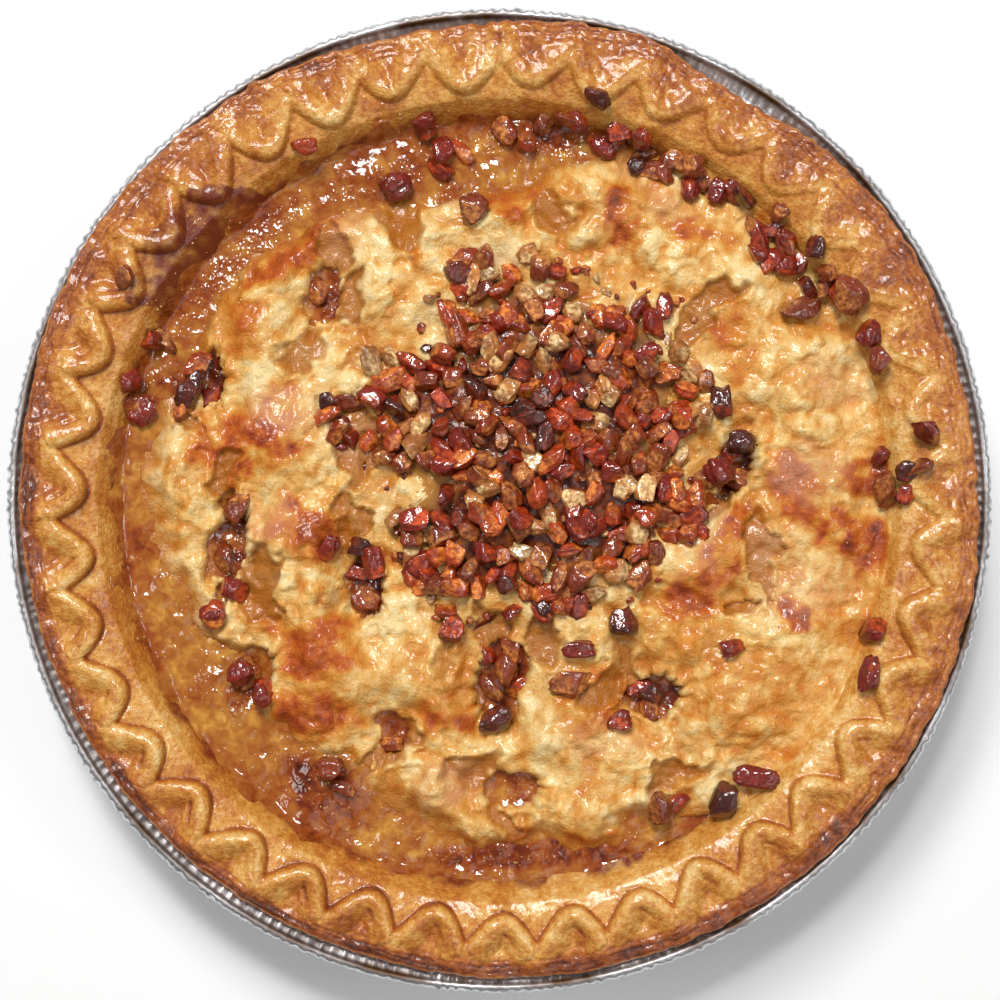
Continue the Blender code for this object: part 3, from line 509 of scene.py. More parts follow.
# Egg-washed shortcrust baked golden: satin, with tiny blisters and brown specks under a thin syrup gloss.
BLISTER = 0.7
SPECK = 1.3
FLECK = 0.9
baked, tree, skin, place = start_material("egg_washed_shortcrust")
bake_and_shade_value = add_node(tree, "Attribute", {}, out="Fac", attribute_name="bake_and_shade")
stain_value = add_node(tree, "Attribute", {}, out="Fac", attribute_name="stain")
mottle = add_node(tree, "TexNoise", {"Vector": place, "Scale": 1.0 / (SPECK * MM), "Detail": 5.0,
                                     "Roughness": 0.62})
uneven = add_node(tree, "MapRange", {"Value": mottle, "From Min": 0.3, "From Max": 0.7,
                                     "To Min": -0.15, "To Max": 0.17})
tone = add_node(tree, "Math", {0: bake_and_shade_value, 1: uneven}, operation="ADD")
crust_colour = add_node(tree, "ValToRGB", {"Fac": tone}, stops=[
    (0.03, "#F3CC88"), (0.2, "#E2A956"), (0.36, "#CE8732"), (0.52, "#B66620"), (0.72, "#904414"),
    (0.95, "#54220A")])
speckle = add_node(tree, "TexNoise", {"Vector": place, "Scale": 1.0 / (FLECK * MM), "Detail": 2.0})
flecks = add_node(tree, "MapRange", {"Value": speckle, "From Min": 0.66, "From Max": 0.76, "To Max": 0.75})
flecked = add_node(tree, "MixRGB", {"Fac": flecks, "Color1": crust_colour, "Color2": linear("#8A431A")})
stained = add_node(tree, "MixRGB", {"Fac": stain_value, "Color1": flecked, "Color2": linear("#7A2E10")})
blister = add_node(tree, "TexNoise", {"Vector": place, "Scale": 1.0 / (BLISTER * MM), "Detail": 3.0})
wash = add_node(tree, "Bump", {"Height": mottle, "Strength": 0.5, "Distance": 0.25 * MM})
satin = add_node(tree, "MapRange", {"Value": mottle, "To Min": 0.35, "To Max": 0.6})
grain = add_node(tree, "Bump", {"Height": blister, "Strength": 1.0, "Distance": 0.45 * MM})
set_sockets(skin, {"Base Color": stained, "Roughness": satin, "Specular IOR Level": 0.3, "Normal": grain,
                   "Coat Weight": 0.9, "Coat Roughness": 0.1, "Coat Normal": wash})
add_piece("crimped_crust", crust_mesh, baked, "pastry", "pie_crust")

# ---- Peach filling ----
# Sliced peaches stewed in their own thickened syrup, which has boiled up round the top crust and set to a
# clear golden gel, darker where praline syrup ran in. Trapped bubbles and fruit make it lumpy.

PLAN_CENTRE = (499.5, 500.6)
PLAN_UNIT = PAN_RADIUS / 492.4
FILL_COLUMNS = 700
FILL_ROWS = (6, 86)  # under the heap, then out to the edge
HIDDEN_RADIUS = 28.0
FILL_EDGE = 100.2  # where the thin film on the crust's inner slope ends
OFF_THE_CRUST = 0.45
# Plan place, half length and half width in mm, heading in degrees, how dark.
FILL_TINTS = [
    ((205, 175), 12, 7, 30, 0.78), ((225, 225), 18, 13, 40, 0.47), ((185, 270), 10, 16, 100, 0.48),
    ((165, 300), 6, 8, 100, 0.6), ((255, 200), 14, 8, 20, 0.52), ((300, 170), 12, 7, 20, 0.46),
    ((450, 140), 28, 12, 0, 0.44), ((380, 165), 14, 11, 0, 0.5), ((540, 120), 18, 8, 0, 0.62),
    ((150, 380), 8, 16, 90, 0.6), ((190, 390), 8, 8, 0, 0.66), ((870, 510), 10, 17, 90, 0.62),
    ((128, 540), 7, 24, 95, 0.46), ((540, 858), 30, 5, 3, 0.62), ((320, 795), 15, 10, 330, 0.55),
    ((300, 780), 7, 5, 330, 0.72), ((322, 298), 9, 6, 80, 0.6), ((211, 380), 9, 5, 90, 0.7),
    ((228, 545), 12, 6, 82, 0.62), ((365, 583), 12, 6, 100, 0.76), ((500, 670), 13, 8, 90, 0.72),
    ((655, 698), 9, 7, 20, 0.76), ((393, 738), 7, 6, 90, 0.62), ((512, 795), 9, 7, 0, 0.42),
    ((738, 468), 10, 6, 60, 0.74), ((250, 680), 10, 6, 60, 0.62),
]
FROTH_PATCH = ((215, 235), 26, 14, 50, 1.0)
FILL_LUMPS = [  # fruit and nuts under the syrup: plan place, reach and rise
    ((330, 790), 7, 1.6), ((300, 815), 6, 1.2), ((350, 765), 5, 1.3), ((430, 140), 6, 1.2),
    ((520, 130), 5, 1.3), ((370, 175), 7, 1.1), ((140, 430), 5, 1.0), ((150, 600), 6, 0.8),
    ((215, 705), 7, 0.9), ((250, 770), 6, 0.8), ((512, 780), 4, 0.9), ((500, 660), 4, 1.0),
    ((228, 560), 4, 0.9), ((885, 470), 5, 1.0), ((870, 545), 6, 0.8),
]

WELL_DEPTH = 1.4
FILL_WELLS = [  # where the fruit sank in the openings: plan place, half length, half width, heading
    ((322, 298), 8, 4, 80), ((211, 380), 8, 3, 90), ((228, 545), 12, 4, 82), ((365, 583), 10, 4, 100),
    ((500, 686), 11, 6, 90), ((655, 698), 7, 5, 20), ((393, 738), 5, 4, 90), ((512, 790), 7, 5, 0),
    ((738, 468), 8, 4, 60), ((250, 680), 7, 4, 60),
]


def plan(place):
    """A place on the plan, 1000 units wide with y down, as mm from the middle of the pie."""
    return (place[0] - PLAN_CENTRE[0]) * PLAN_UNIT, (PLAN_CENTRE[1] - place[1]) * PLAN_UNIT


def along_and_across(x, y, place, heading):
    """Points seen from the middle of an oval, along its length and across it."""
    middle_x, middle_y = plan(place)
    turned_by = math.radians(heading)
    ahead = (x - middle_x) * math.cos(turned_by) + (y - middle_y) * math.sin(turned_by)
    aside = (y - middle_y) * math.cos(turned_by) - (x - middle_x) * math.sin(turned_by)
    return ahead, aside


def patch(x, y, spot):
    """How deep a point lies in a soft oval patch, 1 in its middle."""
    place, half_length, half_width, heading, amount = spot
    ahead, aside = along_and_across(x, y, place, heading)
    return amount * ease(1.5 - np.hypot(ahead / half_length, aside / half_width))


def strongest(start, x, y, spots, uneven=1.0):
    """A value that rises to each soft patch's own strength where the patch lies."""
    for spot in spots:
        start = np.maximum(start, patch(x, y, spot) * uneven)
    return start


def raised_over(start, x, y, lumps):
    """Heights that swell over each lump of fruit."""
    for place, reach, lift in lumps:
        middle_x, middle_y = plan(place)
        start = start + lift * bell(np.hypot(x - middle_x, y - middle_y) / reach)
    return start


fill_angle = np.linspace(0.0, math.tau, FILL_COLUMNS, endpoint=False)
fill_rings = np.concatenate([np.linspace(1.0, HIDDEN_RADIUS, FILL_ROWS[0], endpoint=False),
                             np.linspace(HIDDEN_RADIUS, FILL_EDGE, FILL_ROWS[1])])
fill_radius = fill_rings[:, None] + 0.0 * fill_angle
fill_x = fill_radius * np.cos(fill_angle)
fill_y = fill_radius * np.sin(fill_angle)
boiled = ease(0.5 + rough(fill_x, fill_y, 8.0, 87, 2))
fill_z = FILL_LEVEL + 0.34 * rough(fill_x, fill_y, 9.0, 81, 2)
fill_z += (0.12 + 0.34 * boiled) * rough(fill_x, fill_y, 2.0, 85, 2)
fill_z = raised_over(fill_z, fill_x, fill_y, FILL_LUMPS)
for well in FILL_WELLS:
    fill_z -= WELL_DEPTH * patch(fill_x, fill_y, (*well, 1.0))
film_reach = fill_radius + 0.7 * rough(fill_x, fill_y, 7.0, 93, 2)
film_top = crust_slope(film_reach)
film_top += 0.1 + 0.45 * rough(fill_x, fill_y, 5.0, 89, 3) - 0.9 * ease((fill_radius - 96.5) / 3.0)
film_top -= 1.8 * ease(0.6 + 1.5 * facing_side(fill_angle, SYRUP_FREE_SIDE))
meniscus = 0.45 * bell((fill_z - film_top) / 0.7)
meniscus = meniscus + 0.5 * rough(fill_x, fill_y, 4.5, 99, 3) * bell((fill_radius - 96.0) / 2.5)
fill_z = np.where(fill_radius > FOOT_RADIUS - 1.0, np.maximum(fill_z, film_top) + meniscus, fill_z)
fill_points = np.stack([fill_x, fill_y, fill_z], axis=-1)
sunk = [(FILL_EDGE - 0.2, 30.0), (CAVITY_WALL[0] - OFF_THE_CRUST, CAVITY_WALL[1]),
        (CAVITY_FLOOR[0] - OFF_THE_CRUST, CAVITY_FLOOR[1] + GAP)]
fill_points = np.concatenate([fill_points, turned_rows(sunk, fill_angle)])
caps = ((0, (0, 0, FILL_LEVEL)), (-1, (0, 0, CAVITY_FLOOR[1] + GAP)))
fill_mesh = grid_mesh("peach_gel", fill_points, True, caps=caps)
tint = 0.3 + 0.17 * rough(fill_x, fill_y, 7.0, 91) + 0.16 * ease((fill_radius - 93.0) / 3.0)
ragged_tint = np.clip(1.0 + 0.5 * rough(fill_x, fill_y, 5.0, 95), 0.0, 1.2)
tint = strongest(tint, fill_x, fill_y, FILL_TINTS, ragged_tint)
paint(fill_mesh, "tint", np.concatenate([tint, np.full((len(sunk), FILL_COLUMNS), 0.5)]))
froth = 0.25 + 0.9 * ease(1.6 * rough(fill_x, fill_y, 6.0, 97, 3) - 0.3)
froth = np.maximum(froth, patch(fill_x, fill_y, FROTH_PATCH))
froth = froth * (1.0 - 0.7 * bell((fill_radius - 96.0) / 1.6))
paint(fill_mesh, "froth", np.concatenate([froth, np.zeros((len(sunk), FILL_COLUMNS))]))

# Set fruit syrup: clear, wet and very glossy over a cloudy golden body with pulp in it.
PULP = 2.6
SEED_BUBBLE = 1.1
gel, tree, skin, place = start_material("set_peach_syrup")
tint_value = add_node(tree, "Attribute", {}, out="Fac", attribute_name="tint")
pulp = add_node(tree, "TexNoise", {"Vector": place, "Scale": 1.0 / (PULP * MM), "Detail": 4.0,
                                   "Distortion": 0.6})
cloud = add_node(tree, "MapRange", {"Value": pulp, "From Min": 0.3, "From Max": 0.7,
                                    "To Min": -0.17, "To Max": 0.17})
depth = add_node(tree, "Math", {0: tint_value, 1: cloud}, operation="ADD")
gel_colour = add_node(tree, "ValToRGB", {"Fac": depth}, stops=[
    (0.03, "#D9A24A"), (0.2, "#BC7E32"), (0.36, "#A96428"), (0.55, "#964816"), (0.76, "#6E280C"),
    (0.96, "#461606")])
seeds = add_node(tree, "TexVoronoi", {"Vector": place, "Scale": 1.0 / (SEED_BUBBLE * MM)},
                 feature="SMOOTH_F1")
froth_value = add_node(tree, "Attribute", {}, out="Fac", attribute_name="froth")
ripple = add_node(tree, "Math", {0: seeds, 1: froth_value}, operation="MULTIPLY")
wet = add_node(tree, "Bump", {"Height": ripple, "Strength": 0.8, "Distance": 0.5 * MM})
set_sockets(skin, {"Base Color": gel_colour, "Roughness": 0.22, "IOR": 1.4, "Specular IOR Level": 0.2,
                   "Normal": wet, "Coat Weight": 1.0, "Coat Roughness": 0.05, "Coat Normal": wet})
add_piece("peach_gel", fill_mesh, gel, "filling", "peach_filling")

# ---- Top crust ----
# One rolled sheet of pale pastry laid over the fruit, cut with leaf-shaped openings that have toothed
# edges. It sags between the peach slices, and its high places and syrupy patches are browned.

FILL_RADIUS = 95.3
LID_CELL = 0.6
LID_EDGE_TOP = 29.4
LID_RISE = 0.9
LID_DOME = 2.4
LID_RIPPLE = 0.7
RIPPLE_LENGTH = 17.0
LID_EASE = 8.0
LID_EDGE_SHARE = 0.15
LID_OUTLINE = [  # degrees, radius
    (10, 95.0), (55, 95.0), (75, 90.0), (90, 78.0), (103, 77.0), (115, 83.0), (127, 86.0), (143, 88.0),
    (157, 87.0), (168, 90.0), (180, 90.5), (190, 88.0), (200, 84.0), (212, 79.5), (231, 78.5), (245, 80.0),
    (258, 86.0), (270, 87.0), (290, 90.0), (315, 94.5), (345, 95.0),
]
# Plan place, half length and half width in mm, heading in degrees, and the side that the teeth are on,
# in degrees from the heading.
OPENINGS = [
    ((322, 298), 9.3, 5.0, 80, -90), ((211, 380), 8.6, 3.4, 90, -90), ((228, 545), 13.6, 5.0, 82, -90),
    ((365, 583), 10.8, 4.6, 100, -90), ((500, 686), 11.3, 6.5, 90, 90), ((655, 698), 7.6, 5.5, 20, 0),
    ((393, 738), 5.8, 4.2, 90, 180), ((512, 790), 8.2, 5.4, 0, -60), ((738, 468), 8.8, 4.2, 60, -90),
    ((250, 680), 8.0, 4.8, 60, -80),
]
TOOTH_PITCH = 3.1
TOOTH_DEPTH = 1.0
TOOTH_CREASE = 0.4
LID_GRID_REACH = 100.2
SINKING_EDGE = (3.5, 9.0)  # how far the sheet's own edge dips into the syrup
SKIRT_DEPTH = 3.0
LAP_LIMIT = 90.0  # beyond this radius the sheet's edge laps up the crust
LAP_START = 93.0
SNAP_REACH = 0.55  # of a cell
CRINKLE_SLANT = 58.0  # degrees
LEAVES = 3.2  # how many torn layers of the sheet show, one over the other
LEAF_STEP = 0.75
LUMPS = [  # fruit under the pastry: plan place, reach and rise in mm
    ((300, 235), 12, 2.6), ((392, 285), 13, 3.4), ((250, 332), 11, 2.8), ((275, 430), 13, 3.6),
    ((172, 478), 9, 3.0), ((292, 545), 12, 3.2), ((330, 645), 12, 3.4), ((205, 610), 7, 1.8),
    ((410, 680), 11, 3.2), ((430, 800), 12, 3.0), ((560, 745), 12, 3.4), ((600, 820), 10, 2.2),
    ((715, 700), 13, 3.4), ((790, 640), 12, 2.6), ((700, 560), 12, 3.0), ((830, 500), 12, 2.4),
    ((795, 400), 14, 3.6), ((850, 340), 9, 1.8), ((740, 275), 12, 2.6), ((610, 205), 14, 3.4),
    ((500, 215), 11, 2.4), ((520, 440), 22, 1.6),
]
FOLDS = [  # small ridges and finger-like teeth: plan place, half length, half width, heading, rise
    ((537, 808), 3.6, 1.3, 95, 1.5), ((552, 803), 3.6, 1.3, 80, 1.5), ((568, 806), 3.0, 1.2, 60, 1.2),
    ((160, 470), 5.0, 1.2, 20, 0.9), ((178, 500), 5.0, 1.1, 320, 0.9), ((190, 455), 4.0, 1.1, 60, 0.8),
    ((165, 530), 5.5, 1.2, 345, 0.8), ((150, 500), 4.0, 1.0, 80, 0.7), ((345, 505), 6.0, 1.5, 75, 0.9),
    ((385, 300), 6.0, 1.5, 40, 0.7), ((415, 260), 5.0, 1.4, 120, 0.7), ((640, 200), 8.0, 1.4, 340, 0.7),
    ((590, 235), 3.5, 1.2, 60, 0.8), ((735, 600), 3.0, 3.0, 0, -2.0), ((760, 460), 2.6, 1.2, 30, 0.9),
    ((765, 445), 2.6, 1.2, 20, 0.9), ((645, 770), 7.0, 1.6, 20, 0.6), ((380, 780), 2.8, 1.2, 60, 1.1),
    ((360, 770), 2.8, 1.2, 80, 1.1), ((410, 765), 3.0, 1.2, 40, 0.9), ((870, 410), 7.0, 1.5, 100, 0.6),
]
# Plan place, half length and half width in mm, heading in degrees, how dark it is baked.
BROWNED = [
    ((290, 248), 20, 6, 40, 0.68), ((240, 318), 8, 8, 0, 0.52), ((515, 185), 13, 8, 0, 0.66),
    ((617, 220), 8, 5, 300, 0.74), ((700, 232), 10, 4, 340, 0.55), ((735, 335), 13, 6, 100, 0.56),
    ((255, 445), 15, 9, 0, 0.72), ((211, 455), 7, 4, 90, 0.82), ((285, 395), 8, 5, 80, 0.5),
    ((305, 530), 13, 7, 340, 0.70), ((320, 655), 12, 9, 0, 0.64), ((315, 715), 12, 7, 0, 0.70),
    ((455, 715), 13, 6, 0, 0.66), ((470, 800), 9, 12, 90, 0.4), ((530, 852), 26, 5, 3, 0.74),
    ((728, 545), 14, 6, 57, 0.68), ((696, 594), 9, 8, 30, 0.7), ((797, 490), 11, 6, 298, 0.68),
    ((856, 540), 12, 6, 338, 0.78), ((792, 617), 4, 3, 50, 0.72), ((750, 730), 10, 5, 20, 0.45),
    ((600, 700), 10, 14, 80, 0.5), ((880, 480), 5, 16, 90, 0.66), ((400, 225), 14, 4, 300, 0.5),
    ((230, 480), 8, 6, 0, 0.52), ((205, 355), 6, 10, 90, 0.52), ((265, 620), 8, 6, 90, 0.52),
    ((762, 694), 18, 13, 20, 0.37), ((700, 640), 12, 9, 0, 0.38),
]

# Where syrup ran into the sheet's dips: plan place, half length and half width, heading, how full.
SYRUP_POOLS = [
    ((352, 445), 11, 6, 95, 1.0), ((405, 215), 9, 6, 130, 0.8), ((542, 640), 7, 5, 90, 0.8),
    ((600, 695), 10, 4, 65, 0.6), ((396, 742), 8, 5, 60, 0.9), ((705, 310), 11, 5, 45, 0.8),
    ((766, 560), 12, 3, 95, 0.9), ((258, 590), 11, 5, 80, 0.9), ((330, 600), 8, 4, 50, 0.5),
    ((345, 300), 9, 4, 60, 0.7), ((470, 770), 9, 4, 20, 0.6), ((620, 640), 8, 4, 40, 0.5),
    ((230, 470), 9, 3, 60, 0.7), ((680, 780), 10, 4, 20, 0.6), ((740, 604), 4, 3, 20, 1.0),
    ((300, 350), 9, 4, 20, 0.6), ((440, 665), 8, 4, 95, 0.5), ((560, 215), 9, 6, 340, 0.6),
    ((332, 255), 8, 3, 80, 0.8), ((178, 410), 7, 3, 130, 0.8), ((350, 520), 8, 4, 80, 0.9),
    ((487, 632), 7, 5, 110, 0.9), ((358, 765), 8, 3, 40, 0.9), ((500, 825), 7, 3, 100, 0.7),
    ((628, 668), 9, 3, 135, 0.7), ((722, 500), 7, 3, 60, 0.8), ((215, 650), 9, 3, 100, 0.8),
]
POOL_DEPTH = 1.8

# Painted sheen, pale pinkish patches that stand in for the soft light's reflection on the wet glaze: plan
# place, half length and half width, heading, how strong.
PAINTED_SHEEN_PATCHES = [
    ((285, 405), 5, 10, 80, 0.75), ((445, 785), 5, 10, 80, 0.65), ((700, 540), 8, 4, 60, 0.7),
    ((772, 545), 3, 8, 90, 0.5), ((835, 380), 8, 10, 90, 0.4), ((655, 185), 12, 5, 330, 0.5),
    ((270, 520), 7, 5, 0, 0.7), ((610, 745), 5, 9, 80, 0.5), ((815, 470), 6, 10, 90, 0.6),
    ((345, 235), 5, 6, 0, 0.5), ((345, 440), 6, 8, 90, 0.35), ((800, 590), 12, 7, 20, 0.45),
]


def plan_noise(x, y):
    """The slow ripple of the sheet."""
    flat = [Vector((a, b, 0.0)) / RIPPLE_LENGTH for a, b in zip(x.ravel(), y.ravel())]
    return np.array([noise.noise(spot) for spot in flat]).reshape(x.shape)


def opening_share(opening, x, y):
    """Distance from an opening's middle, 1 on its leaf outline, and the direction round it."""
    place, half_length, half_width, heading = opening[:4]
    ahead, aside = along_and_across(x, y, place, heading)
    ahead = ahead / half_length
    aside = aside / half_width
    return np.hypot(ahead, aside), np.arctan2(aside, ahead)


def lid_height(x, y):
    """The top crust's upper face: a low dome with lumps over the fruit, dipping at openings and edge."""
    away = np.hypot(x, y)
    rise = LID_RISE + LID_DOME * np.maximum(0.0, 1.0 - (away / FILL_RADIUS) ** 2)
    rise = raised_over(rise, x, y, LUMPS) + LID_RIPPLE * plan_noise(x, y)
    near = outline_radius(LID_OUTLINE, np.arctan2(y, x)) - away
    for opening in OPENINGS:
        near = np.minimum(near, (opening_share(opening, x, y)[0] - 1.0) * opening[2])
    return LID_EDGE_TOP + rise * (LID_EDGE_SHARE + (1.0 - LID_EDGE_SHARE) * ease(near / LID_EASE))


lid_steps = int(2.0 * LID_GRID_REACH / LID_CELL) + 1
line = np.linspace(-LID_GRID_REACH, LID_GRID_REACH, lid_steps)
lid_x, lid_y = np.meshgrid(line, line, indexing="ij")
lid_angle = np.arctan2(lid_y, lid_x)
lid_limit = outline_radius(LID_OUTLINE, lid_angle)
against_rim = ease((lid_limit - LAP_LIMIT) / 4.0)

# How far inside the sheet each point lies: its own torn edge first, then the openings cut in it.
tear = 2.6 * rough(lid_x, lid_y, 10.0, 101, 3) + 0.5 * rough(lid_x, lid_y, 2.4, 103, 2)
inset = lid_limit - np.hypot(lid_x, lid_y) - (1.0 - against_rim) * tear + 5.0 * against_rim
outer_inset = inset
toothed = np.zeros(inset.shape)
tooth_gap = np.zeros(inset.shape)
for opening in OPENINGS:
    away, facing = opening_share(opening, lid_x, lid_y)
    _, half_length, half_width, _, tooth_side = opening
    teeth = round(math.tau * math.hypot(half_length, half_width) / math.sqrt(2.0) / TOOTH_PITCH)
    cut_side = ease(0.5 + 0.9 * facing_side(facing, tooth_side))
    beat = np.abs(np.sin(0.5 * teeth * facing + 0.5 * rough(lid_x, lid_y, 5.0, 106, 1)))
    torn = 2.0 * rough(lid_x, lid_y, 5.0, 105, 2) + 0.35 * rough(lid_x, lid_y, 1.6, 107, 2)
    from_cut = (away - 1.0) * half_width + (1.0 - 0.7 * cut_side) * torn
    from_cut = from_cut + cut_side * TOOTH_DEPTH * (np.sqrt(beat) - 0.15)
    toothed = np.maximum(toothed, cut_side * (0.3 + 0.7 * beat) * ease((4.5 - from_cut) / 3.0))
    tooth_gap = np.maximum(tooth_gap, cut_side * bell(beat / 0.28) * ease((3.6 - from_cut) / 2.2))
    inset = np.minimum(inset, from_cut)

# The points nearest to an edge move onto it, so that the grid follows it.
pull_x, pull_y = np.gradient(inset, LID_CELL)
pull = np.maximum(np.hypot(pull_x, pull_y), 0.3)
snapped = np.abs(inset) < SNAP_REACH * LID_CELL
move = np.where(snapped, -inset / pull ** 2, 0.0)
lid_x = lid_x + np.clip(move * pull_x, -0.5 * LID_CELL, 0.5 * LID_CELL)
lid_y = lid_y + np.clip(move * pull_y, -0.5 * LID_CELL, 0.5 * LID_CELL)
inset = np.where(snapped, 0.0, inset)
lid_top = lid_height(lid_x, lid_y)
for spot in FOLDS:
    lid_top += patch(lid_x, lid_y, spot)

# Puffs, torn leaves and crinkles.
lengthwise, crosswise = along_and_across(lid_x, lid_y, PLAN_CENTRE, CRINKLE_SLANT)
swell = rough(lid_x, lid_y, 13.0, 119, 2)
crinkles = rough(0.3 * lengthwise, crosswise, 1.6, 113, 2)
craggy = 0.3 + 0.7 * ease(0.5 + 1.3 * rough(lid_x, lid_y, 20.0, 129, 2))
puffs = np.abs(rough(lid_x, lid_y, 9.5, 127, 2))
small_puffs = np.abs(rough(lid_x, lid_y, 3.6, 111, 2))
# Painted shade: the valleys between the puffs are darkened, partly as syrup lying in them.
shaded_valley = bell(puffs / 0.2) * craggy
leaves = LEAVES * (0.5 + 0.5 * rough(lid_x, lid_y, 8.0, 117, 3))
leaf_top = np.floor(leaves) + ease((leaves % 1.0 - 0.35) / 0.3)
leaf_edge = bell((leaves % 1.0 - 0.42) / 0.12)
lid_top += 0.6 * swell + craggy * (2.3 * puffs ** 0.9 - 0.9) + 0.6 * small_puffs - 0.25 + 0.08 * crinkles
lid_top += LEAF_STEP * (leaf_top - 0.5 * LEAVES) * (0.4 + 0.6 * craggy)
lid_top += 0.12 * rough(lid_x, lid_y, 1.5, 115, 2)

# The dips where syrup lies, each with a raised rim, and the swollen teeth of the openings.
pool_x = lid_x + 3.0 * rough(lid_x, lid_y, 6.0, 153)
pool_y = lid_y + 3.0 * rough(lid_x, lid_y, 6.0, 157)
pooled = strongest(0.0, pool_x, pool_y, SYRUP_POOLS)
lid_top += 0.6 * bell((pooled - 0.28) / 0.14)
pooled = ease((pooled - 0.32) / 0.3)
lid_top -= POOL_DEPTH * pooled
lid_top += toothed * bell((inset - 1.7) / 1.4) - TOOTH_CREASE * tooth_gap

# Every edge rounds off. The sheet's own edge sinks into the syrup, or laps up the crust.
edge_round = np.sqrt(np.clip(1.0 - (1.0 - np.clip(inset / 1.7, 0.0, 1.0)) ** 2, 0.0, 1.0))
edge_share = ease(0.5 + 0.8 * rough(lid_x, lid_y, 12.0, 109, 2))
edge_width = SINKING_EDGE[0] + (SINKING_EDGE[1] - SINKING_EDGE[0]) * edge_share
sinking = against_rim + (1.0 - against_rim) * ease(outer_inset / edge_width)
lid_base = FILL_LEVEL - 0.2
risen = lid_base + (lid_top - lid_base) * (0.35 + 0.65 * edge_round) * sinking
lid_away = np.hypot(lid_x, lid_y)
lapped = crust_slope(lid_away) + 0.5 + 0.4 * rough(lid_x, lid_y, 4.0, 145, 3)
lapped = lapped - 1.6 * ease((lid_away - 98.0) / 2.0)
risen = np.where((against_rim > 0.4) & (lid_away > LAP_START), np.maximum(risen, lapped), risen)
lid_z = np.where(inset >= 0.0, risen, FILL_LEVEL - SKIRT_DEPTH)
lid_points = np.stack([lid_x, lid_y, lid_z], axis=-1)
solid = inset > -SNAP_REACH * LID_CELL
keep = solid[:-1, :-1] | solid[1:, :-1] | solid[1:, 1:] | solid[:-1, 1:]
lid_mesh = grid_mesh("torn_top_crust", lid_points, keep=keep)

# How dark each point is baked, where syrup wets it, and where pinkish sheen is painted. The valleys between
# the puffs and the notches between the teeth are darkened as painted shade.
dry = ease((leaves - 1.35) / 0.5)
raised = ease(2.2 * puffs - 0.5) * craggy * 0.6 + 0.55 * dry
lid_bake_and_shade = 0.25 + 0.12 * rough(lid_x, lid_y, 15.0, 121, 2) + 0.10 * rough(lid_x, lid_y, 3.2, 123, 2)
# Painted shade: darker in the valleys between the puffs.
lid_bake_and_shade += 0.08 * shaded_valley - 0.18 * raised + 0.05 * crinkles + 0.10 * leaf_edge * craggy
lid_bake_and_shade += 0.035 * lid_x / FILL_RADIUS
blotch = np.clip(0.92 + 0.42 * rough(lid_x, lid_y, 4.0, 131, 3), 0.3, 1.1)
astray_x = lid_x + 2.8 * rough(lid_x, lid_y, 6.0, 135)
astray_y = lid_y + 2.8 * rough(lid_x, lid_y, 6.0, 139)
lid_bake_and_shade = strongest(lid_bake_and_shade, astray_x, astray_y, BROWNED, blotch)
near_edge = toothed * ease((2.4 - inset) / 1.6)
# Painted shade: the notches between the teeth are darker.
lid_bake_and_shade = lid_bake_and_shade * (1.0 - 0.5 * near_edge) + 0.12 * tooth_gap
lid_bake_and_shade += 0.08 * against_rim * ease((lid_away - LAP_LIMIT) / 6.0)
paint(lid_mesh, "bake_and_shade", np.where(inset < 0.0, 0.6, lid_bake_and_shade))
wetness = 0.5 + 0.6 * rough(lid_x, lid_y, 9.0, 143, 2)
sauce_and_shade = (1.0 - against_rim) * ease((0.75 * edge_width - outer_inset) / (0.75 * edge_width))
# Syrup colour in the valleys, partly real syrup and partly painted shade.
sauce_and_shade += (0.3 * shaded_valley + 0.15 * (1.0 - dry)) * ease(wetness) * (1.0 - near_edge)
sauce_and_shade = np.maximum(sauce_and_shade, 0.9 * pooled)
paint(lid_mesh, "sauce_and_shade", np.where(inset < 0.0, 1.0, np.clip(sauce_and_shade, 0.0, 0.9)))
# Painted sheen: pale pinkish patches of reflection.
painted_sheen = strongest(0.0, astray_x, astray_y, PAINTED_SHEEN_PATCHES, blotch)
paint(lid_mesh, "sheen", np.clip(0.4 * painted_sheen, 0.0, 1.0))

# Glazed pale pastry: creamy yellow flour skin with a buttery gloss, orange-brown where sugar caught, with
# painted shade in its valleys and notches and pale pinkish patches of painted sheen.
CRUMB = 0.8
BLOTCH = 4.0
GLAZE_WAVE = 1.6
pale, tree, skin, place = start_material("glazed_pale_pastry")
bake_and_shade_value = add_node(tree, "Attribute", {}, out="Fac", attribute_name="bake_and_shade")
blotches = add_node(tree, "TexNoise", {"Vector": place, "Scale": 1.0 / (BLOTCH * MM), "Detail": 6.0,
                                       "Roughness": 0.65})
uneven = add_node(tree, "MapRange", {"Value": blotches, "From Min": 0.3, "From Max": 0.7,
                                     "To Min": -0.16, "To Max": 0.17})
tone = add_node(tree, "Math", {0: bake_and_shade_value, 1: uneven}, operation="ADD")
lid_colour = add_node(tree, "ValToRGB", {"Fac": tone}, stops=[
    (0.02, "#F8DA9C"), (0.16, "#EEC072"), (0.32, "#DE9C46"), (0.48, "#D17F26"), (0.64, "#C05C16"),
    (0.82, "#9A3A0E"), (0.98, "#5E1A0A")])
sauce_and_shade_value = add_node(tree, "Attribute", {}, out="Fac", attribute_name="sauce_and_shade")
darkened = add_node(tree, "MixRGB", {"Fac": sauce_and_shade_value, "Color1": lid_colour, "Color2": linear("#AC661C")})
speckle = add_node(tree, "TexNoise", {"Vector": place, "Scale": 1.0 / (FLECK * MM), "Detail": 2.0})
flecks = add_node(tree, "MapRange", {"Value": speckle, "From Min": 0.68, "From Max": 0.77, "To Max": 0.7})
flecked = add_node(tree, "MixRGB", {"Fac": flecks, "Color1": darkened, "Color2": linear("#A0521C")})
sheen_value = add_node(tree, "Attribute", {}, out="Fac", attribute_name="sheen")
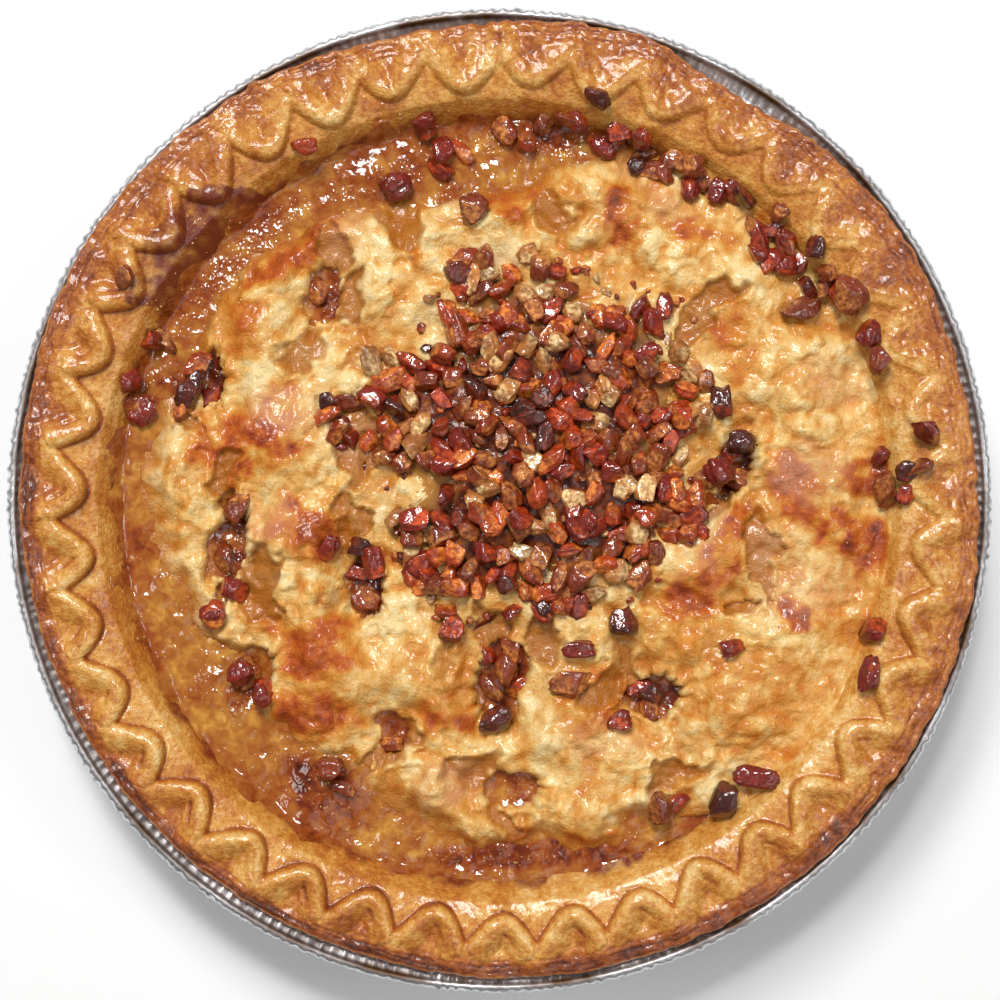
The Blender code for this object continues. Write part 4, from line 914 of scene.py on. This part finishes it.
sheened = add_node(tree, "MixRGB", {"Fac": sheen_value, "Color1": flecked, "Color2": linear("#E9BE9A")})
crumb = add_node(tree, "TexNoise", {"Vector": place, "Scale": 1.0 / (CRUMB * MM), "Detail": 4.0})
buttery = add_node(tree, "MapRange", {"Value": sauce_and_shade_value, "To Min": 0.6, "To Max": 0.25})
grain = add_node(tree, "Bump", {"Height": crumb, "Strength": 1.0, "Distance": 0.45 * MM})
glaze_wave = add_node(tree, "TexNoise", {"Vector": place, "Scale": 1.0 / (GLAZE_WAVE * MM), "Detail": 3.0})
glaze = add_node(tree, "Bump", {"Height": glaze_wave, "Strength": 0.7, "Distance": 0.35 * MM})
set_sockets(skin, {"Base Color": sheened, "Roughness": buttery, "Specular IOR Level": 0.3, "Normal": grain,
                   "Coat Weight": 0.6, "Coat Roughness": 0.12, "Coat Normal": glaze})
add_piece("torn_top_crust", lid_mesh, pale, "pale_pastry", "top_crust")

# ---- Praline heap ----
# Chopped pecans stirred into brown sugar syrup and spooned on the middle of the pie, where the syrup set
# to a thin dark toffee that holds them. Their skins are dark, their cut faces pale under the toffee.

HEAP_CENTRE = (545, 440)
HEAP_OUTLINE = [  # degrees, radius in mm
    (20, 44.0), (44, 50.0), (68, 46.0), (90, 49.0), (116, 52.0), (139, 42.0), (160, 54.0), (177, 57.0),
    (193, 42.0), (218, 48.0), (242, 54.0), (258, 46.0), (285, 46.0), (310, 48.0), (337, 46.0), (352, 36.0),
]
HEAP_EDGE_COVER = 0.25
HEAP_DOME_COVER = 2.4
HEAP_DOME_START = 1.6
HEAP_RINGS = 48
HEAP_STEPS = 260
HEAP_REACH = 60.0  # past its farthest edge
HEAP_GAP = ((415, 485), 7, 5, 20, 1.0)  # a clear place near the left edge
BARE_SPOT = ((415, 485), 9, 7, 20, 1.0)
NUT_SPACING = 5.4
NUT_ROW_SHARE = 0.866  # of the spacing, from row to row
NUT_STRAY = 1.7
NUT_LENGTHS = (5.8, 10.4)
NUT_WIDTHS = (4.2, 6.4)
NUT_HEIGHTS = (0.7, 0.95)  # shares of the width
NUT_LIFTS = (0.05, 0.6)  # shares of the height that a nut's middle stands above what it lies on
NUT_LEAN = 0.6
NUT_TONES = (0.8, 1.35)
NUT_SEED = 200  # each group's nuts take the seeds after their own
NUT_STEPS = 8
CHIP_STEPS = 4
DROP_HEIGHT = 60.0  # above all of the pie
heap_x, heap_y = plan(HEAP_CENTRE)


def heap_share(x, y):
    """How far out in the heap a point lies, 1 at its outline."""
    outline = outline_radius(HEAP_OUTLINE, np.arctan2(y - heap_y, x - heap_x))
    return np.hypot(x - heap_x, y - heap_y) / outline


def mound(x, y):
    """Height of the toffee."""
    cover = HEAP_EDGE_COVER + HEAP_DOME_COVER * ease(HEAP_DOME_START * (1.0 - heap_share(x, y)))
    return lid_height(x, y) + cover


core_angle = np.linspace(0.0, math.tau, HEAP_STEPS, endpoint=False)
core_limit = outline_radius(HEAP_OUTLINE, core_angle)
core_share = np.linspace(0.02, 1.0, HEAP_RINGS)[:, None]
core_edge = 1.0 + 0.07 * rough(30.0 * np.cos(core_angle), 30.0 * np.sin(core_angle), 3.0, 141)
core_away = core_share * core_limit * core_edge
core_x = heap_x + core_away * np.cos(core_angle)
core_y = heap_y + core_away * np.sin(core_angle)
core_z = mound(core_x, core_y)
core_z = core_z + 0.5 * rough(core_x, core_y, 2.6, 145, 3) * ease(6.0 * (1.02 - core_share))


def carrier(mesh):
    """A surface that nuts can be dropped on."""
    faces = [face.vertices for face in mesh.polygons]
    return BVHTree.FromPolygons([vert.co for vert in mesh.vertices], faces)


carriers = [carrier(mesh) for mesh in (crust_mesh, fill_mesh, lid_mesh)]


def top_at(x, y):
    """The height of whatever shows at a place."""
    start = Vector((x, y, DROP_HEIGHT)) * MM
    hits = [surface.ray_cast(start, Vector((0.0, 0.0, -1.0)))[0] for surface in carriers]
    return max(hit.z for hit in hits if hit is not None) / MM


under = np.array([top_at(x, y) for x, y in zip(core_x.ravel(), core_y.ravel())]).reshape(core_x.shape)
thin_film = under + 0.15 + 0.35 * rough(core_x, core_y, 4.0, 147, 2) - 1.1 * ease((core_share - 0.7) / 0.3)
thinning = ease((core_share - 0.45) / 0.35)
core_z = np.maximum(core_z, under + 0.2) * (1.0 - thinning) + thin_film * thinning
core_points = np.stack([core_x, core_y, core_z], axis=-1)
skirt = core_points[-1].copy()
skirt[:, 2] = LID_EDGE_TOP - GAP
core_points = np.concatenate([core_points, skirt[None]])
caps = ((0, (heap_x, heap_y, float(core_z[0].mean()))), (-1, (heap_x, heap_y, LID_EDGE_TOP - GAP)))
core_mesh = grid_mesh("praline_toffee", core_points, True, caps=caps)
bare = patch(core_x, core_y, BARE_SPOT)
bare = np.maximum(bare, 0.9 * ease((core_share - 0.62) / 0.3 + 0.5 * rough(core_x, core_y, 5.0, 149, 2)))
paint(core_mesh, "bare", np.concatenate([bare, np.zeros((1, HEAP_STEPS))]))

# Brown sugar toffee: near black where thick, red-brown where thin, and as glossy as glass.
SWIRL = 3.0
SUGAR_GRAIN = 1.4
toffee, tree, skin, place = start_material("brown_sugar_toffee")
bare_value = add_node(tree, "Attribute", {}, out="Fac", attribute_name="bare")
swirl = add_node(tree, "TexNoise", {"Vector": place, "Scale": 1.0 / (SWIRL * MM), "Detail": 5.0})
toffee_colour = add_node(tree, "ValToRGB", {"Fac": swirl}, stops=[
    (0.3, "#2E0C04"), (0.45, "#5E2008"), (0.6, "#8A4010"), (0.75, "#AC681E")])
shown = add_node(tree, "MixRGB", {"Fac": bare_value, "Color1": toffee_colour, "Color2": linear("#B9803A")})
sugar = add_node(tree, "TexNoise", {"Vector": place, "Scale": 1.0 / (SUGAR_GRAIN * MM), "Detail": 3.0})
grit = add_node(tree, "Bump", {"Height": sugar, "Strength": 0.5, "Distance": 0.35 * MM})
set_sockets(skin, {"Base Color": shown, "Roughness": 0.4, "Specular IOR Level": 0.2, "Normal": grit,
                   "Coat Weight": 0.45, "Coat Roughness": 0.05, "Coat Normal": grit})
add_piece("praline_toffee", core_mesh, toffee, "praline", "praline_heap")
carriers.append(carrier(core_mesh))


def ball_grid(steps):
    """Even points on a ball, from a cube's six faces, and the quads between them."""
    points = []
    quads = []
    for axis in range(3):
        for side in (-1.0, 1.0):
            start = len(points)
            for row in range(steps + 1):
                for column in range(steps + 1):
                    spot = [0.0, 0.0, 0.0]
                    spot[axis] = side
                    spot[(axis + 1) % 3] = side * math.tan((row / steps - 0.5) * math.pi / 2.0)
                    spot[(axis + 2) % 3] = math.tan((column / steps - 0.5) * math.pi / 2.0)
                    points.append(Vector(spot).normalized())
            for row in range(steps):
                for column in range(steps):
                    corner = start + row * (steps + 1) + column
                    quads.append((corner, corner + steps + 1, corner + steps + 2, corner + 1))
    places, owner = np.unique(np.round(np.array(points), 6), axis=0, return_inverse=True)
    return places, owner.reshape(-1)[np.array(quads)]


whole_form = ball_grid(NUT_STEPS)
chip_form = ball_grid(CHIP_STEPS)


def nugget(form, length, width, height, draw, seed):
    """Points of one chopped pecan in its own frame, and how much of each is a cut face or a groove."""
    ball = form[0]
    half = np.array([length, width, height]) / 2.0
    facing = np.arctan2(ball[:, 2], ball[:, 1])
    lobed = 0.09 * np.cos(draw.choice((3, 4, 5)) * facing + draw.uniform(0.0, math.tau))
    groove = bell(np.abs(np.sin(facing * 1.5 + draw.uniform(0.0, math.tau))) / 0.22) * (1.0 - ball[:, 0] ** 2)
    groove = groove * draw.choice((0.0, 0.5, 1.0))
    swell = 1.06 + lobed - 0.18 * groove
    swell = swell + 0.19 * rough(ball[:, 0], ball[:, 1], 0.55, seed, 3, z=ball[:, 2])
    blocky = np.sign(ball) * np.abs(ball) ** 0.8
    points = blocky * half * swell[:, None]
    cut = np.zeros(len(ball))
    for number in range(draw.choice((2, 3, 3, 4))):
        tilt = draw.uniform(-0.7, 0.9) if number else draw.uniform(0.7, 1.4)
        turn = draw.uniform(0.0, math.tau)
        face = np.array([math.cos(turn) * math.cos(tilt), math.sin(turn) * math.cos(tilt), math.sin(tilt)])
        limit = draw.uniform(0.55, 0.8) * np.linalg.norm(face * half)
        over = np.clip(points @ face - limit, 0.0, None)
        points = points - over[:, None] * face * 0.92
        cut = np.maximum(cut, ease(over / (0.12 * width)))
    points = points * np.clip(half / np.abs(points).max(axis=0), 0.0, 1.25)
    return points, cut, groove


def tumbled_nugget(form, size, draw, seed, most_lean):
    """A nugget that came to rest leaning and turned some way or other."""
    points, cut, groove = nugget(form, *size, draw, seed)
    lean = Matrix.Rotation(draw.uniform(-most_lean, most_lean), 3, "X")
    roll = Matrix.Rotation(draw.uniform(-most_lean, most_lean), 3, "Y")
    turn = Matrix.Rotation(draw.uniform(0.0, math.tau), 3, "Z")
    return points @ np.array(turn @ lean @ roll).T, cut, groove


def nut_mesh(name, form, nuts):
    """One mesh of several nuggets, each given as its placed points, cut faces, grooves and tone."""
    ball, ball_faces = form
    faces = np.concatenate([ball_faces + number * len(ball) for number in range(len(nuts))])
    mesh = bpy.data.meshes.new(name)
    mesh.from_pydata((np.concatenate([nut[0] for nut in nuts]) * MM).tolist(), [], faces.tolist())
    mesh.shade_smooth()
    heights = [nut[0][:, 2] for nut in nuts]
    paint(mesh, "cut", np.concatenate([nut[1] for nut in nuts]))
    paint(mesh, "groove", np.concatenate([nut[2] for nut in nuts]))
    paint(mesh, "tone", np.concatenate([np.full(len(ball), nut[3]) for nut in nuts]))
    # Darker towards the foot of each nugget.
    paint(mesh, "foot_darkening", np.concatenate([ease(0.75 - 1.2 * (z - z.min()) / np.ptp(z)) for z in heights]))
    return mesh


def add_nuts(name, form, nuts_by_kind):
    """A piece for each kind of pecan that there are nuggets of."""
    for kind, nuts in nuts_by_kind.items():
        if nuts:
            kind_name = f"{name}_{kind}"
            add_piece(kind_name, nut_mesh(kind_name, form, nuts), nut_finish[kind], "pecan")


# Candied pecan: papery skin and cut kernel under a clear toffee coat, darker towards each nugget's foot.
# Each kind has its own two colours, by how long it baked: skin, then cut face.
NUT_KINDS = {
    "orange": ("#A83A0A", "#E88A3A"),
    "burgundy": ("#821C08", "#C84C16"),
    "brown": ("#86340E", "#CE8442"),
    "cream": ("#BC783A", "#F4D294"),
    "dark": ("#481408", "#883010"),
}
FIBRE = 1.3
SCORCH_PATCH = 4.5
nut_finish = {}
for kind, (skin_colour, cut_colour) in NUT_KINDS.items():
    candied, tree, skin, place = start_material("candied_pecan_" + kind)
    cut_value = add_node(tree, "Attribute", {}, out="Fac", attribute_name="cut")
    groove_value = add_node(tree, "Attribute", {}, out="Fac", attribute_name="groove")
    tone_value = add_node(tree, "Attribute", {}, out="Fac", attribute_name="tone")
    foot_darkening_value = add_node(tree, "Attribute", {}, out="Fac", attribute_name="foot_darkening")
    fibre = add_node(tree, "TexNoise", {"Vector": place, "Scale": 1.0 / (FIBRE * MM), "Detail": 5.0,
                                        "Roughness": 0.6})
    patchy = add_node(tree, "MapRange", {"Value": fibre, "From Min": 0.35, "From Max": 0.62,
                                         "To Min": 0.1, "To Max": 1.0})
    share_cut = add_node(tree, "Math", {0: cut_value, 1: patchy}, operation="MULTIPLY")
    kernel = add_node(tree, "MixRGB", {"Fac": share_cut, "Color1": linear(skin_colour),
                                       "Color2": linear(cut_colour)})
    grooved = add_node(tree, "MixRGB", {"Fac": groove_value, "Color1": kernel,
                                        "Color2": linear(skin_colour)})
    scorching = add_node(tree, "TexNoise", {"Vector": place, "Scale": 1.0 / (SCORCH_PATCH * MM),
                                            "Detail": 3.0})
    scorched = add_node(tree, "MapRange", {"Value": scorching, "From Min": 0.48, "From Max": 0.68,
                                           "To Max": 0.6})
    toasted = add_node(tree, "MixRGB", {"Fac": scorched, "Color1": grooved, "Color2": linear("#6E1E0A")})
    darkened = add_node(tree, "MixRGB", {"Fac": foot_darkening_value, "Color1": toasted, "Color2": linear("#3E1206")})
    streaks = add_node(tree, "MapRange", {"Value": fibre, "From Min": 0.35, "From Max": 0.65,
                                          "To Min": 0.68, "To Max": 1.22})
    brightness = add_node(tree, "Math", {0: tone_value, 1: streaks}, operation="MULTIPLY")
    toned = add_node(tree, "HueSaturation", {"Color": darkened, "Value": brightness})
    grain_bump = add_node(tree, "Bump", {"Height": fibre, "Strength": 1.0, "Distance": 0.6 * MM})
    toffee_bump = add_node(tree, "Bump", {"Height": scorching, "Strength": 0.8, "Distance": 1.2 * MM})
    set_sockets(skin, {"Base Color": toned, "Roughness": 0.45, "Specular IOR Level": 0.25,
                       "Normal": grain_bump, "Coat Weight": 1.0, "Coat Roughness": 0.04, "Coat IOR": 1.6,
                       "Coat Normal": toffee_bump})
    nut_finish[kind] = candied

draw = random.Random(23)
heap_nuts = {kind: [] for kind in NUT_KINDS}
heap_shares = ["orange"] * 7 + ["burgundy"] * 5 + ["brown"] * 5 + ["cream"] * 3 + ["dark"]
reach = int(HEAP_REACH / NUT_SPACING) + 1
number = 0
for row in range(-reach, reach + 1):
    for column in range(-reach, reach + 1):
        x = heap_x + (column + 0.5 * (row % 2)) * NUT_SPACING + draw.uniform(-NUT_STRAY, NUT_STRAY)
        y = heap_y + row * NUT_SPACING * NUT_ROW_SHARE + draw.uniform(-NUT_STRAY, NUT_STRAY)
        spot_x = np.array([x])
        spot_y = np.array([y])
        out = heap_share(spot_x, spot_y)[0]
        heap_limit = 0.93 + 0.12 * rough(spot_x, spot_y, 7.0, 151, 2)[0]
        number += 1
        if out > heap_limit or patch(spot_x, spot_y, HEAP_GAP)[0] > 0.5:
            continue
        length = draw.uniform(*NUT_LENGTHS)
        width = draw.uniform(*NUT_WIDTHS)
        tall = width * draw.uniform(*NUT_HEIGHTS)
        size = (length, width, tall)
        points, cut, groove = tumbled_nugget(whole_form, size, draw, NUT_SEED + number, NUT_LEAN)
        lift = top_at(x, y) + tall * draw.uniform(*NUT_LIFTS) - 0.4 * float(ease((out - 0.8) / 0.2))
        points = points + np.array([x, y, lift])
        heap_nuts[draw.choice(heap_shares)].append((points, cut, groove, draw.uniform(*NUT_TONES)))
add_nuts("heap_pecans", whole_form, heap_nuts)

# ---- Loose pecans ----
# Single pieces of candied pecan that rolled off the heap and stuck in the glaze. Each is pressed a little
# into the pastry or the syrup under it, and lies the way its solid lies.

LOOSE_PECANS = 52
LOOSE_SEED = 900
PRESSED_IN = 0.25  # share of its height
LEAST_SHIFT = -1.4
MOST_SHIFT = 1.5
loose_shares = ["burgundy"] * 6 + ["orange"] + ["brown"] * 3 + ["dark"] * 2
draw = random.Random(57)
for number in range(1, LOOSE_PECANS + 1):
    name = f"pecan_{number:02d}"
    corners = np.array([vert.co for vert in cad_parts[name].data.vertices]) / MM
    low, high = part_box(name)
    middle = (np.array(low) + np.array(high)) / 2.0 / MM
    axes = np.linalg.eigh(np.cov((corners - middle).T))[1][:, ::-1]
    axes[:, 2] = np.cross(axes[:, 0], axes[:, 1])
    size = np.ptp((corners - middle) @ axes, axis=0)
    points, cut, groove = nugget(whole_form, *size, draw, LOOSE_SEED + number)
    points = points @ axes.T + middle
    bottom = points[:, 2].min() + PRESSED_IN * size[2]
    points[:, 2] += min(MOST_SHIFT, max(LEAST_SHIFT, top_at(middle[0], middle[1]) - bottom))
    kind = draw.choice(loose_shares)
    mesh = nut_mesh(name + "_candied", whole_form, [(points, cut, groove, draw.uniform(0.8, 1.2))])
    add_piece(name + "_candied", mesh, nut_finish[kind], "pecan", name)

# ---- Small pecan bits and chips ----
# The smaller bits from the chopping board: some lie apart on the crust, and chips fill the gaps of the heap
# and trail round it. All are stuck down by the glaze.

SMALL_BITS = [  # plan place, length in mm, kind
    ((597, 140), 7.7, "burgundy"), ((618, 135), 7.2, "burgundy"), ((645, 150), 7.7, "brown"),
    ((690, 185), 8.2, "burgundy"), ((790, 240), 7.2, "burgundy"), ((808, 288), 7.2, "dark"),
    ((888, 480), 7.2, "dark"), ((890, 498), 7.2, "burgundy"), ((677, 805), 8.2, "burgundy"),
    ((580, 607), 8.2, "burgundy"), ((540, 605), 8.2, "dark"), ((460, 150), 8.7, "orange"),
    ((440, 165), 7.7, "burgundy"), ((425, 122), 8.7, "orange"), ((460, 272), 8.8, "dark"),
    ((665, 305), 8.7, "burgundy"), ((722, 402), 8.8, "dark"), ((685, 430), 8.2, "burgundy"),
    ((675, 489), 8.2, "orange"), ((697, 496), 8.2, "orange"), ((660, 512), 8.8, "brown"),
    ((262, 693), 7.7, "burgundy"), ((195, 365), 9.3, "orange"), ((182, 405), 8.8, "orange"),
    ((235, 506), 8.8, "dark"), ((357, 548), 8.7, "dark"), ((355, 573), 8.8, "burgundy"),
    ((328, 549), 8.7, "burgundy"), ((508, 672), 7.7, "orange"), ((330, 770), 8.3, "burgundy"),
    ((345, 790), 7.7, "brown"), ((215, 612), 8.7, "orange"), ((248, 680), 8.8, "brown"),
    ((740, 442), 8.3, "burgundy"), ((717, 470), 8.3, "dark"), ((655, 555), 8.2, "brown"),
    ((621, 131), 8.8, "burgundy"), ((758, 227), 8.7, "brown"), ((789, 242), 9.3, "brown"),
    ((838, 293), 8.8, "burgundy"), ((776, 228), 8.7, "burgundy"), ((700, 176), 8.2, "brown"),
    ((655, 170), 7.7, "brown"), ((800, 262), 8.2, "burgundy"), ((826, 284), 7.7, "brown"),
    ((505, 128), 8.2, "brown"), ((525, 140), 7.7, "orange"), ((160, 340), 8.8, "brown"),
    ((135, 405), 8.8, "brown"), ((232, 512), 8.8, "burgundy"), ((222, 560), 9.8, "brown"),
    ((232, 590), 8.2, "burgundy"), ((374, 562), 8.8, "burgundy"), ((362, 600), 8.8, "brown"),
    ((487, 655), 8.3, "burgundy"), ((512, 650), 8.8, "brown"), ((518, 690), 7.7, "orange"),
    ((490, 690), 8.7, "brown"), ((640, 690), 8.7, "burgundy"), ((650, 712), 7.7, "brown"),
    ((240, 668), 8.3, "brown"), ((388, 745), 7.7, "brown"), ((316, 290), 7.7, "brown"),
    ((208, 395), 8.8, "burgundy"), ((742, 478), 8.7, "brown"), ((730, 455), 8.7, "burgundy"),
    ((640, 575), 8.3, "brown"), ((622, 620), 7.7, "burgundy"), ((450, 628), 8.7, "brown"),
    ((420, 565), 9.8, "burgundy"), ((655, 695), 8.8, "dark"), ((545, 118), 8.7, "brown"),
    ((908, 471), 8.0, "dark"), ((905, 492), 7.5, "burgundy"), ((640, 520), 8.0, "brown"),
    ((705, 478), 7.5, "brown"), ((575, 118), 8.5, "burgundy"), ((734, 190), 8.5, "burgundy"),
    ((760, 240), 8.0, "burgundy"), ((672, 158), 8.0, "brown"), ((770, 262), 8.0, "burgundy"),
]
BIT_SEED = 1200
BIT_WIDTHS = (0.55, 0.75)  # shares of the length
BIT_HEIGHT = 0.8  # share of the width, as the lift is
BIT_LIFT = 0.2
BIT_LEAN = 0.4
CHIPS = 170
CHIP_SEED = 1500
CHIP_LENGTHS = (1.6, 3.8)
CHIP_FORM = np.array([1.0, 0.75, 0.6])  # length, width and height as shares of the length
CHIP_LIFT = 0.15
CHIP_LEAN = 0.8
draw = random.Random(71)
small_nuts = {kind: [] for kind in NUT_KINDS}
for number, (place, length, kind) in enumerate(SMALL_BITS):
    x, y = plan(place)
    width = length * draw.uniform(*BIT_WIDTHS)
    size = (length, width, BIT_HEIGHT * width)
    points, cut, groove = tumbled_nugget(whole_form, size, draw, BIT_SEED + number, BIT_LEAN)
    points = points + np.array([x, y, top_at(x, y) + BIT_LIFT * width])
    small_nuts[kind].append((points, cut, groove, draw.uniform(0.85, 1.2)))
add_nuts("small_pecans", whole_form, small_nuts)
chips = {kind: [] for kind in NUT_KINDS}
for number in range(CHIPS):
    facing = draw.uniform(0.0, math.tau)
    limit = float(outline_radius(HEAP_OUTLINE, np.array([facing]))[0])
    away = limit * math.sqrt(draw.uniform(0.0, 1.0))
    x = heap_x + away * math.cos(facing)
    y = heap_y + away * math.sin(facing)
    length = draw.uniform(*CHIP_LENGTHS)
    points, cut, groove = tumbled_nugget(chip_form, length * CHIP_FORM, draw, CHIP_SEED + number, CHIP_LEAN)
    points = points + np.array([x, y, top_at(x, y) + CHIP_LIFT * length])
    chips[draw.choice(heap_shares)].append((points, cut, groove, draw.uniform(0.8, 1.2)))
add_nuts("pecan_chips", chip_form, chips)

# ---- Sugar foam and painted glints ----
# Syrup that boiled through the crust left clusters of tiny pale bubbles as it set, thickest along the
# trough, in the openings and where it ran over the pastry. Their pale colour is also a painted highlight,
# standing in for the glints of the wet syrup.

FOAM_POOLS = [  # plan place, half length and half width in mm, heading, how many beads
    ((215, 250), 16, 14, 45, 110), ((180, 300), 6, 14, 100, 50), ((420, 140), 26, 9, 0, 90),
    ((150, 400), 4, 14, 90, 40), ((170, 620), 5, 20, 110, 70), ((215, 715), 5, 14, 130, 60),
    ((270, 770), 12, 5, 330, 60), ((330, 800), 14, 8, 330, 120), ((400, 830), 12, 4, 345, 40),
    ((520, 862), 24, 4, 3, 90), ((640, 838), 12, 4, 15, 40), ((770, 565), 2, 14, 95, 50),
    ((850, 545), 12, 6, 340, 40), ((500, 690), 5, 9, 90, 30), ((512, 792), 6, 4, 0, 30),
    ((325, 300), 4, 7, 80, 20), ((208, 375), 3, 7, 90, 30), ((470, 500), 8, 12, 90, 60),
]
BEAD_SIZES = (0.12, 0.34)
BEAD_STEPS = 2
BEAD_SHARE = 0.35
POOL_SPREAD = 0.55  # of the beads about a pool's middle, as a share of its half length or width
bead_ball, bead_faces = ball_grid(BEAD_STEPS)
draw = random.Random(83)
bead_points = []
for place, half_length, half_width, heading, count in FOAM_POOLS:
    middle_x, middle_y = plan(place)
    turned_by = math.radians(heading)
    for _ in range(round(BEAD_SHARE * count)):
        ahead = POOL_SPREAD * half_length * draw.gauss(0.0, 1.0)
        aside = POOL_SPREAD * half_width * draw.gauss(0.0, 1.0)
        x = middle_x + ahead * math.cos(turned_by) - aside * math.sin(turned_by)
        y = middle_y + ahead * math.sin(turned_by) + aside * math.cos(turned_by)
        size = draw.uniform(*BEAD_SIZES)
        bead_points.append(bead_ball * size + np.array([x, y, top_at(x, y) + 0.1 * size]))
foam_mesh = bpy.data.meshes.new("sugar_foam_and_glints")
foam_faces = np.concatenate([bead_faces + number * len(bead_ball) for number in range(len(bead_points))])
foam_mesh.from_pydata((np.concatenate(bead_points) * MM).tolist(), [], foam_faces.tolist())
foam_mesh.shade_smooth()

# Set sugar bubbles: thin-walled, clear and full of air, so they look pale. Their pale colour is also a
# painted highlight that stands in for the glints of the wet syrup.
FOAM_CLOUD = 3.0
foam_and_glints, tree, skin, place = start_material("set_sugar_foam_and_glints")
cloudy = add_node(tree, "TexNoise", {"Vector": place, "Scale": 1.0 / (FOAM_CLOUD * MM), "Detail": 2.0})
foam_and_glint_colour = add_node(tree, "ValToRGB", {"Fac": cloudy}, stops=[(0.35, "#B4742E"), (0.62, "#E2B878")])
set_sockets(skin, {"Base Color": foam_and_glint_colour, "Roughness": 0.3, "Coat Weight": 1.0, "Coat Roughness": 0.1})
add_piece("sugar_foam_and_glints", foam_mesh, foam_and_glints, "filling")

# ---- Studio ----
# A plain white table, a large soft light behind the pie and a smaller one beside it for the wet glints,
# and three dim ones in front and at the sides that open the shadows and light the foil. Sizes are in metres.

TABLE_REACH = 1.5
table_corners = [(-TABLE_REACH, -TABLE_REACH, 0.0), (TABLE_REACH, -TABLE_REACH, 0.0),
                 (TABLE_REACH, TABLE_REACH, 0.0), (-TABLE_REACH, TABLE_REACH, 0.0)]
floor_mesh = bpy.data.meshes.new("table_top")
floor_mesh.from_pydata(table_corners, [], [(0, 1, 2, 3)])
floor = bpy.data.objects.new("table_top", floor_mesh)
bpy.context.scene.collection.objects.link(floor)
laminate = bpy.data.materials.new("matt_white_laminate")
laminate.use_nodes = True
set_sockets(laminate.node_tree.nodes["Principled BSDF"], {"Base Color": linear("#F7F7F6"), "Roughness": 0.7})
floor_mesh.materials.append(laminate)


def add_light(name, place, size, power):
    """A square soft box that faces the pie."""
    lamp = bpy.data.lights.new(name, "AREA")
    lamp.size = size
    lamp.energy = power
    light = bpy.data.objects.new(name, lamp)
    light.location = place
    light.rotation_euler = (Vector((0.0, 0.0, 0.03)) - Vector(place)).to_track_quat("-Z", "Y").to_euler()
    bpy.context.scene.collection.objects.link(light)


add_light("key_box", (-0.45, 1.4, 1.9), 0.7, 31.0)
add_light("spark_box", (-0.15, 0.95, 2.0), 0.25, 14.0)
add_light("fill_box", (0.9, -0.9, 2.0), 1.6, 7.0)
add_light("right_box", (1.35, 0.25, 1.9), 0.6, 6.0)
add_light("left_box", (-1.35, 0.1, 1.9), 0.5, 5.0)
world = bpy.data.worlds.new("studio")
world.use_nodes = True
set_sockets(world.node_tree.nodes["Background"], {"Color": linear("#FFFFFF"), "Strength": 0.17})
bpy.context.scene.world = world
bpy.context.scene.view_settings.view_transform = "Standard"

LENS = 85.0
SENSOR = 36.0
VIEW_LEVEL = 33.0
view_width = 1000.0 * PLAN_UNIT
camera_data = bpy.data.cameras.new("camera")
camera_data.lens = LENS
camera_data.sensor_width = SENSOR
camera = bpy.data.objects.new("camera", camera_data)
centre_x, centre_y = plan((500.0, 500.0))
camera.location = Vector((centre_x, centre_y, VIEW_LEVEL + view_width * LENS / SENSOR)) * MM
bpy.context.scene.collection.objects.link(camera)
bpy.context.scene.camera = camera
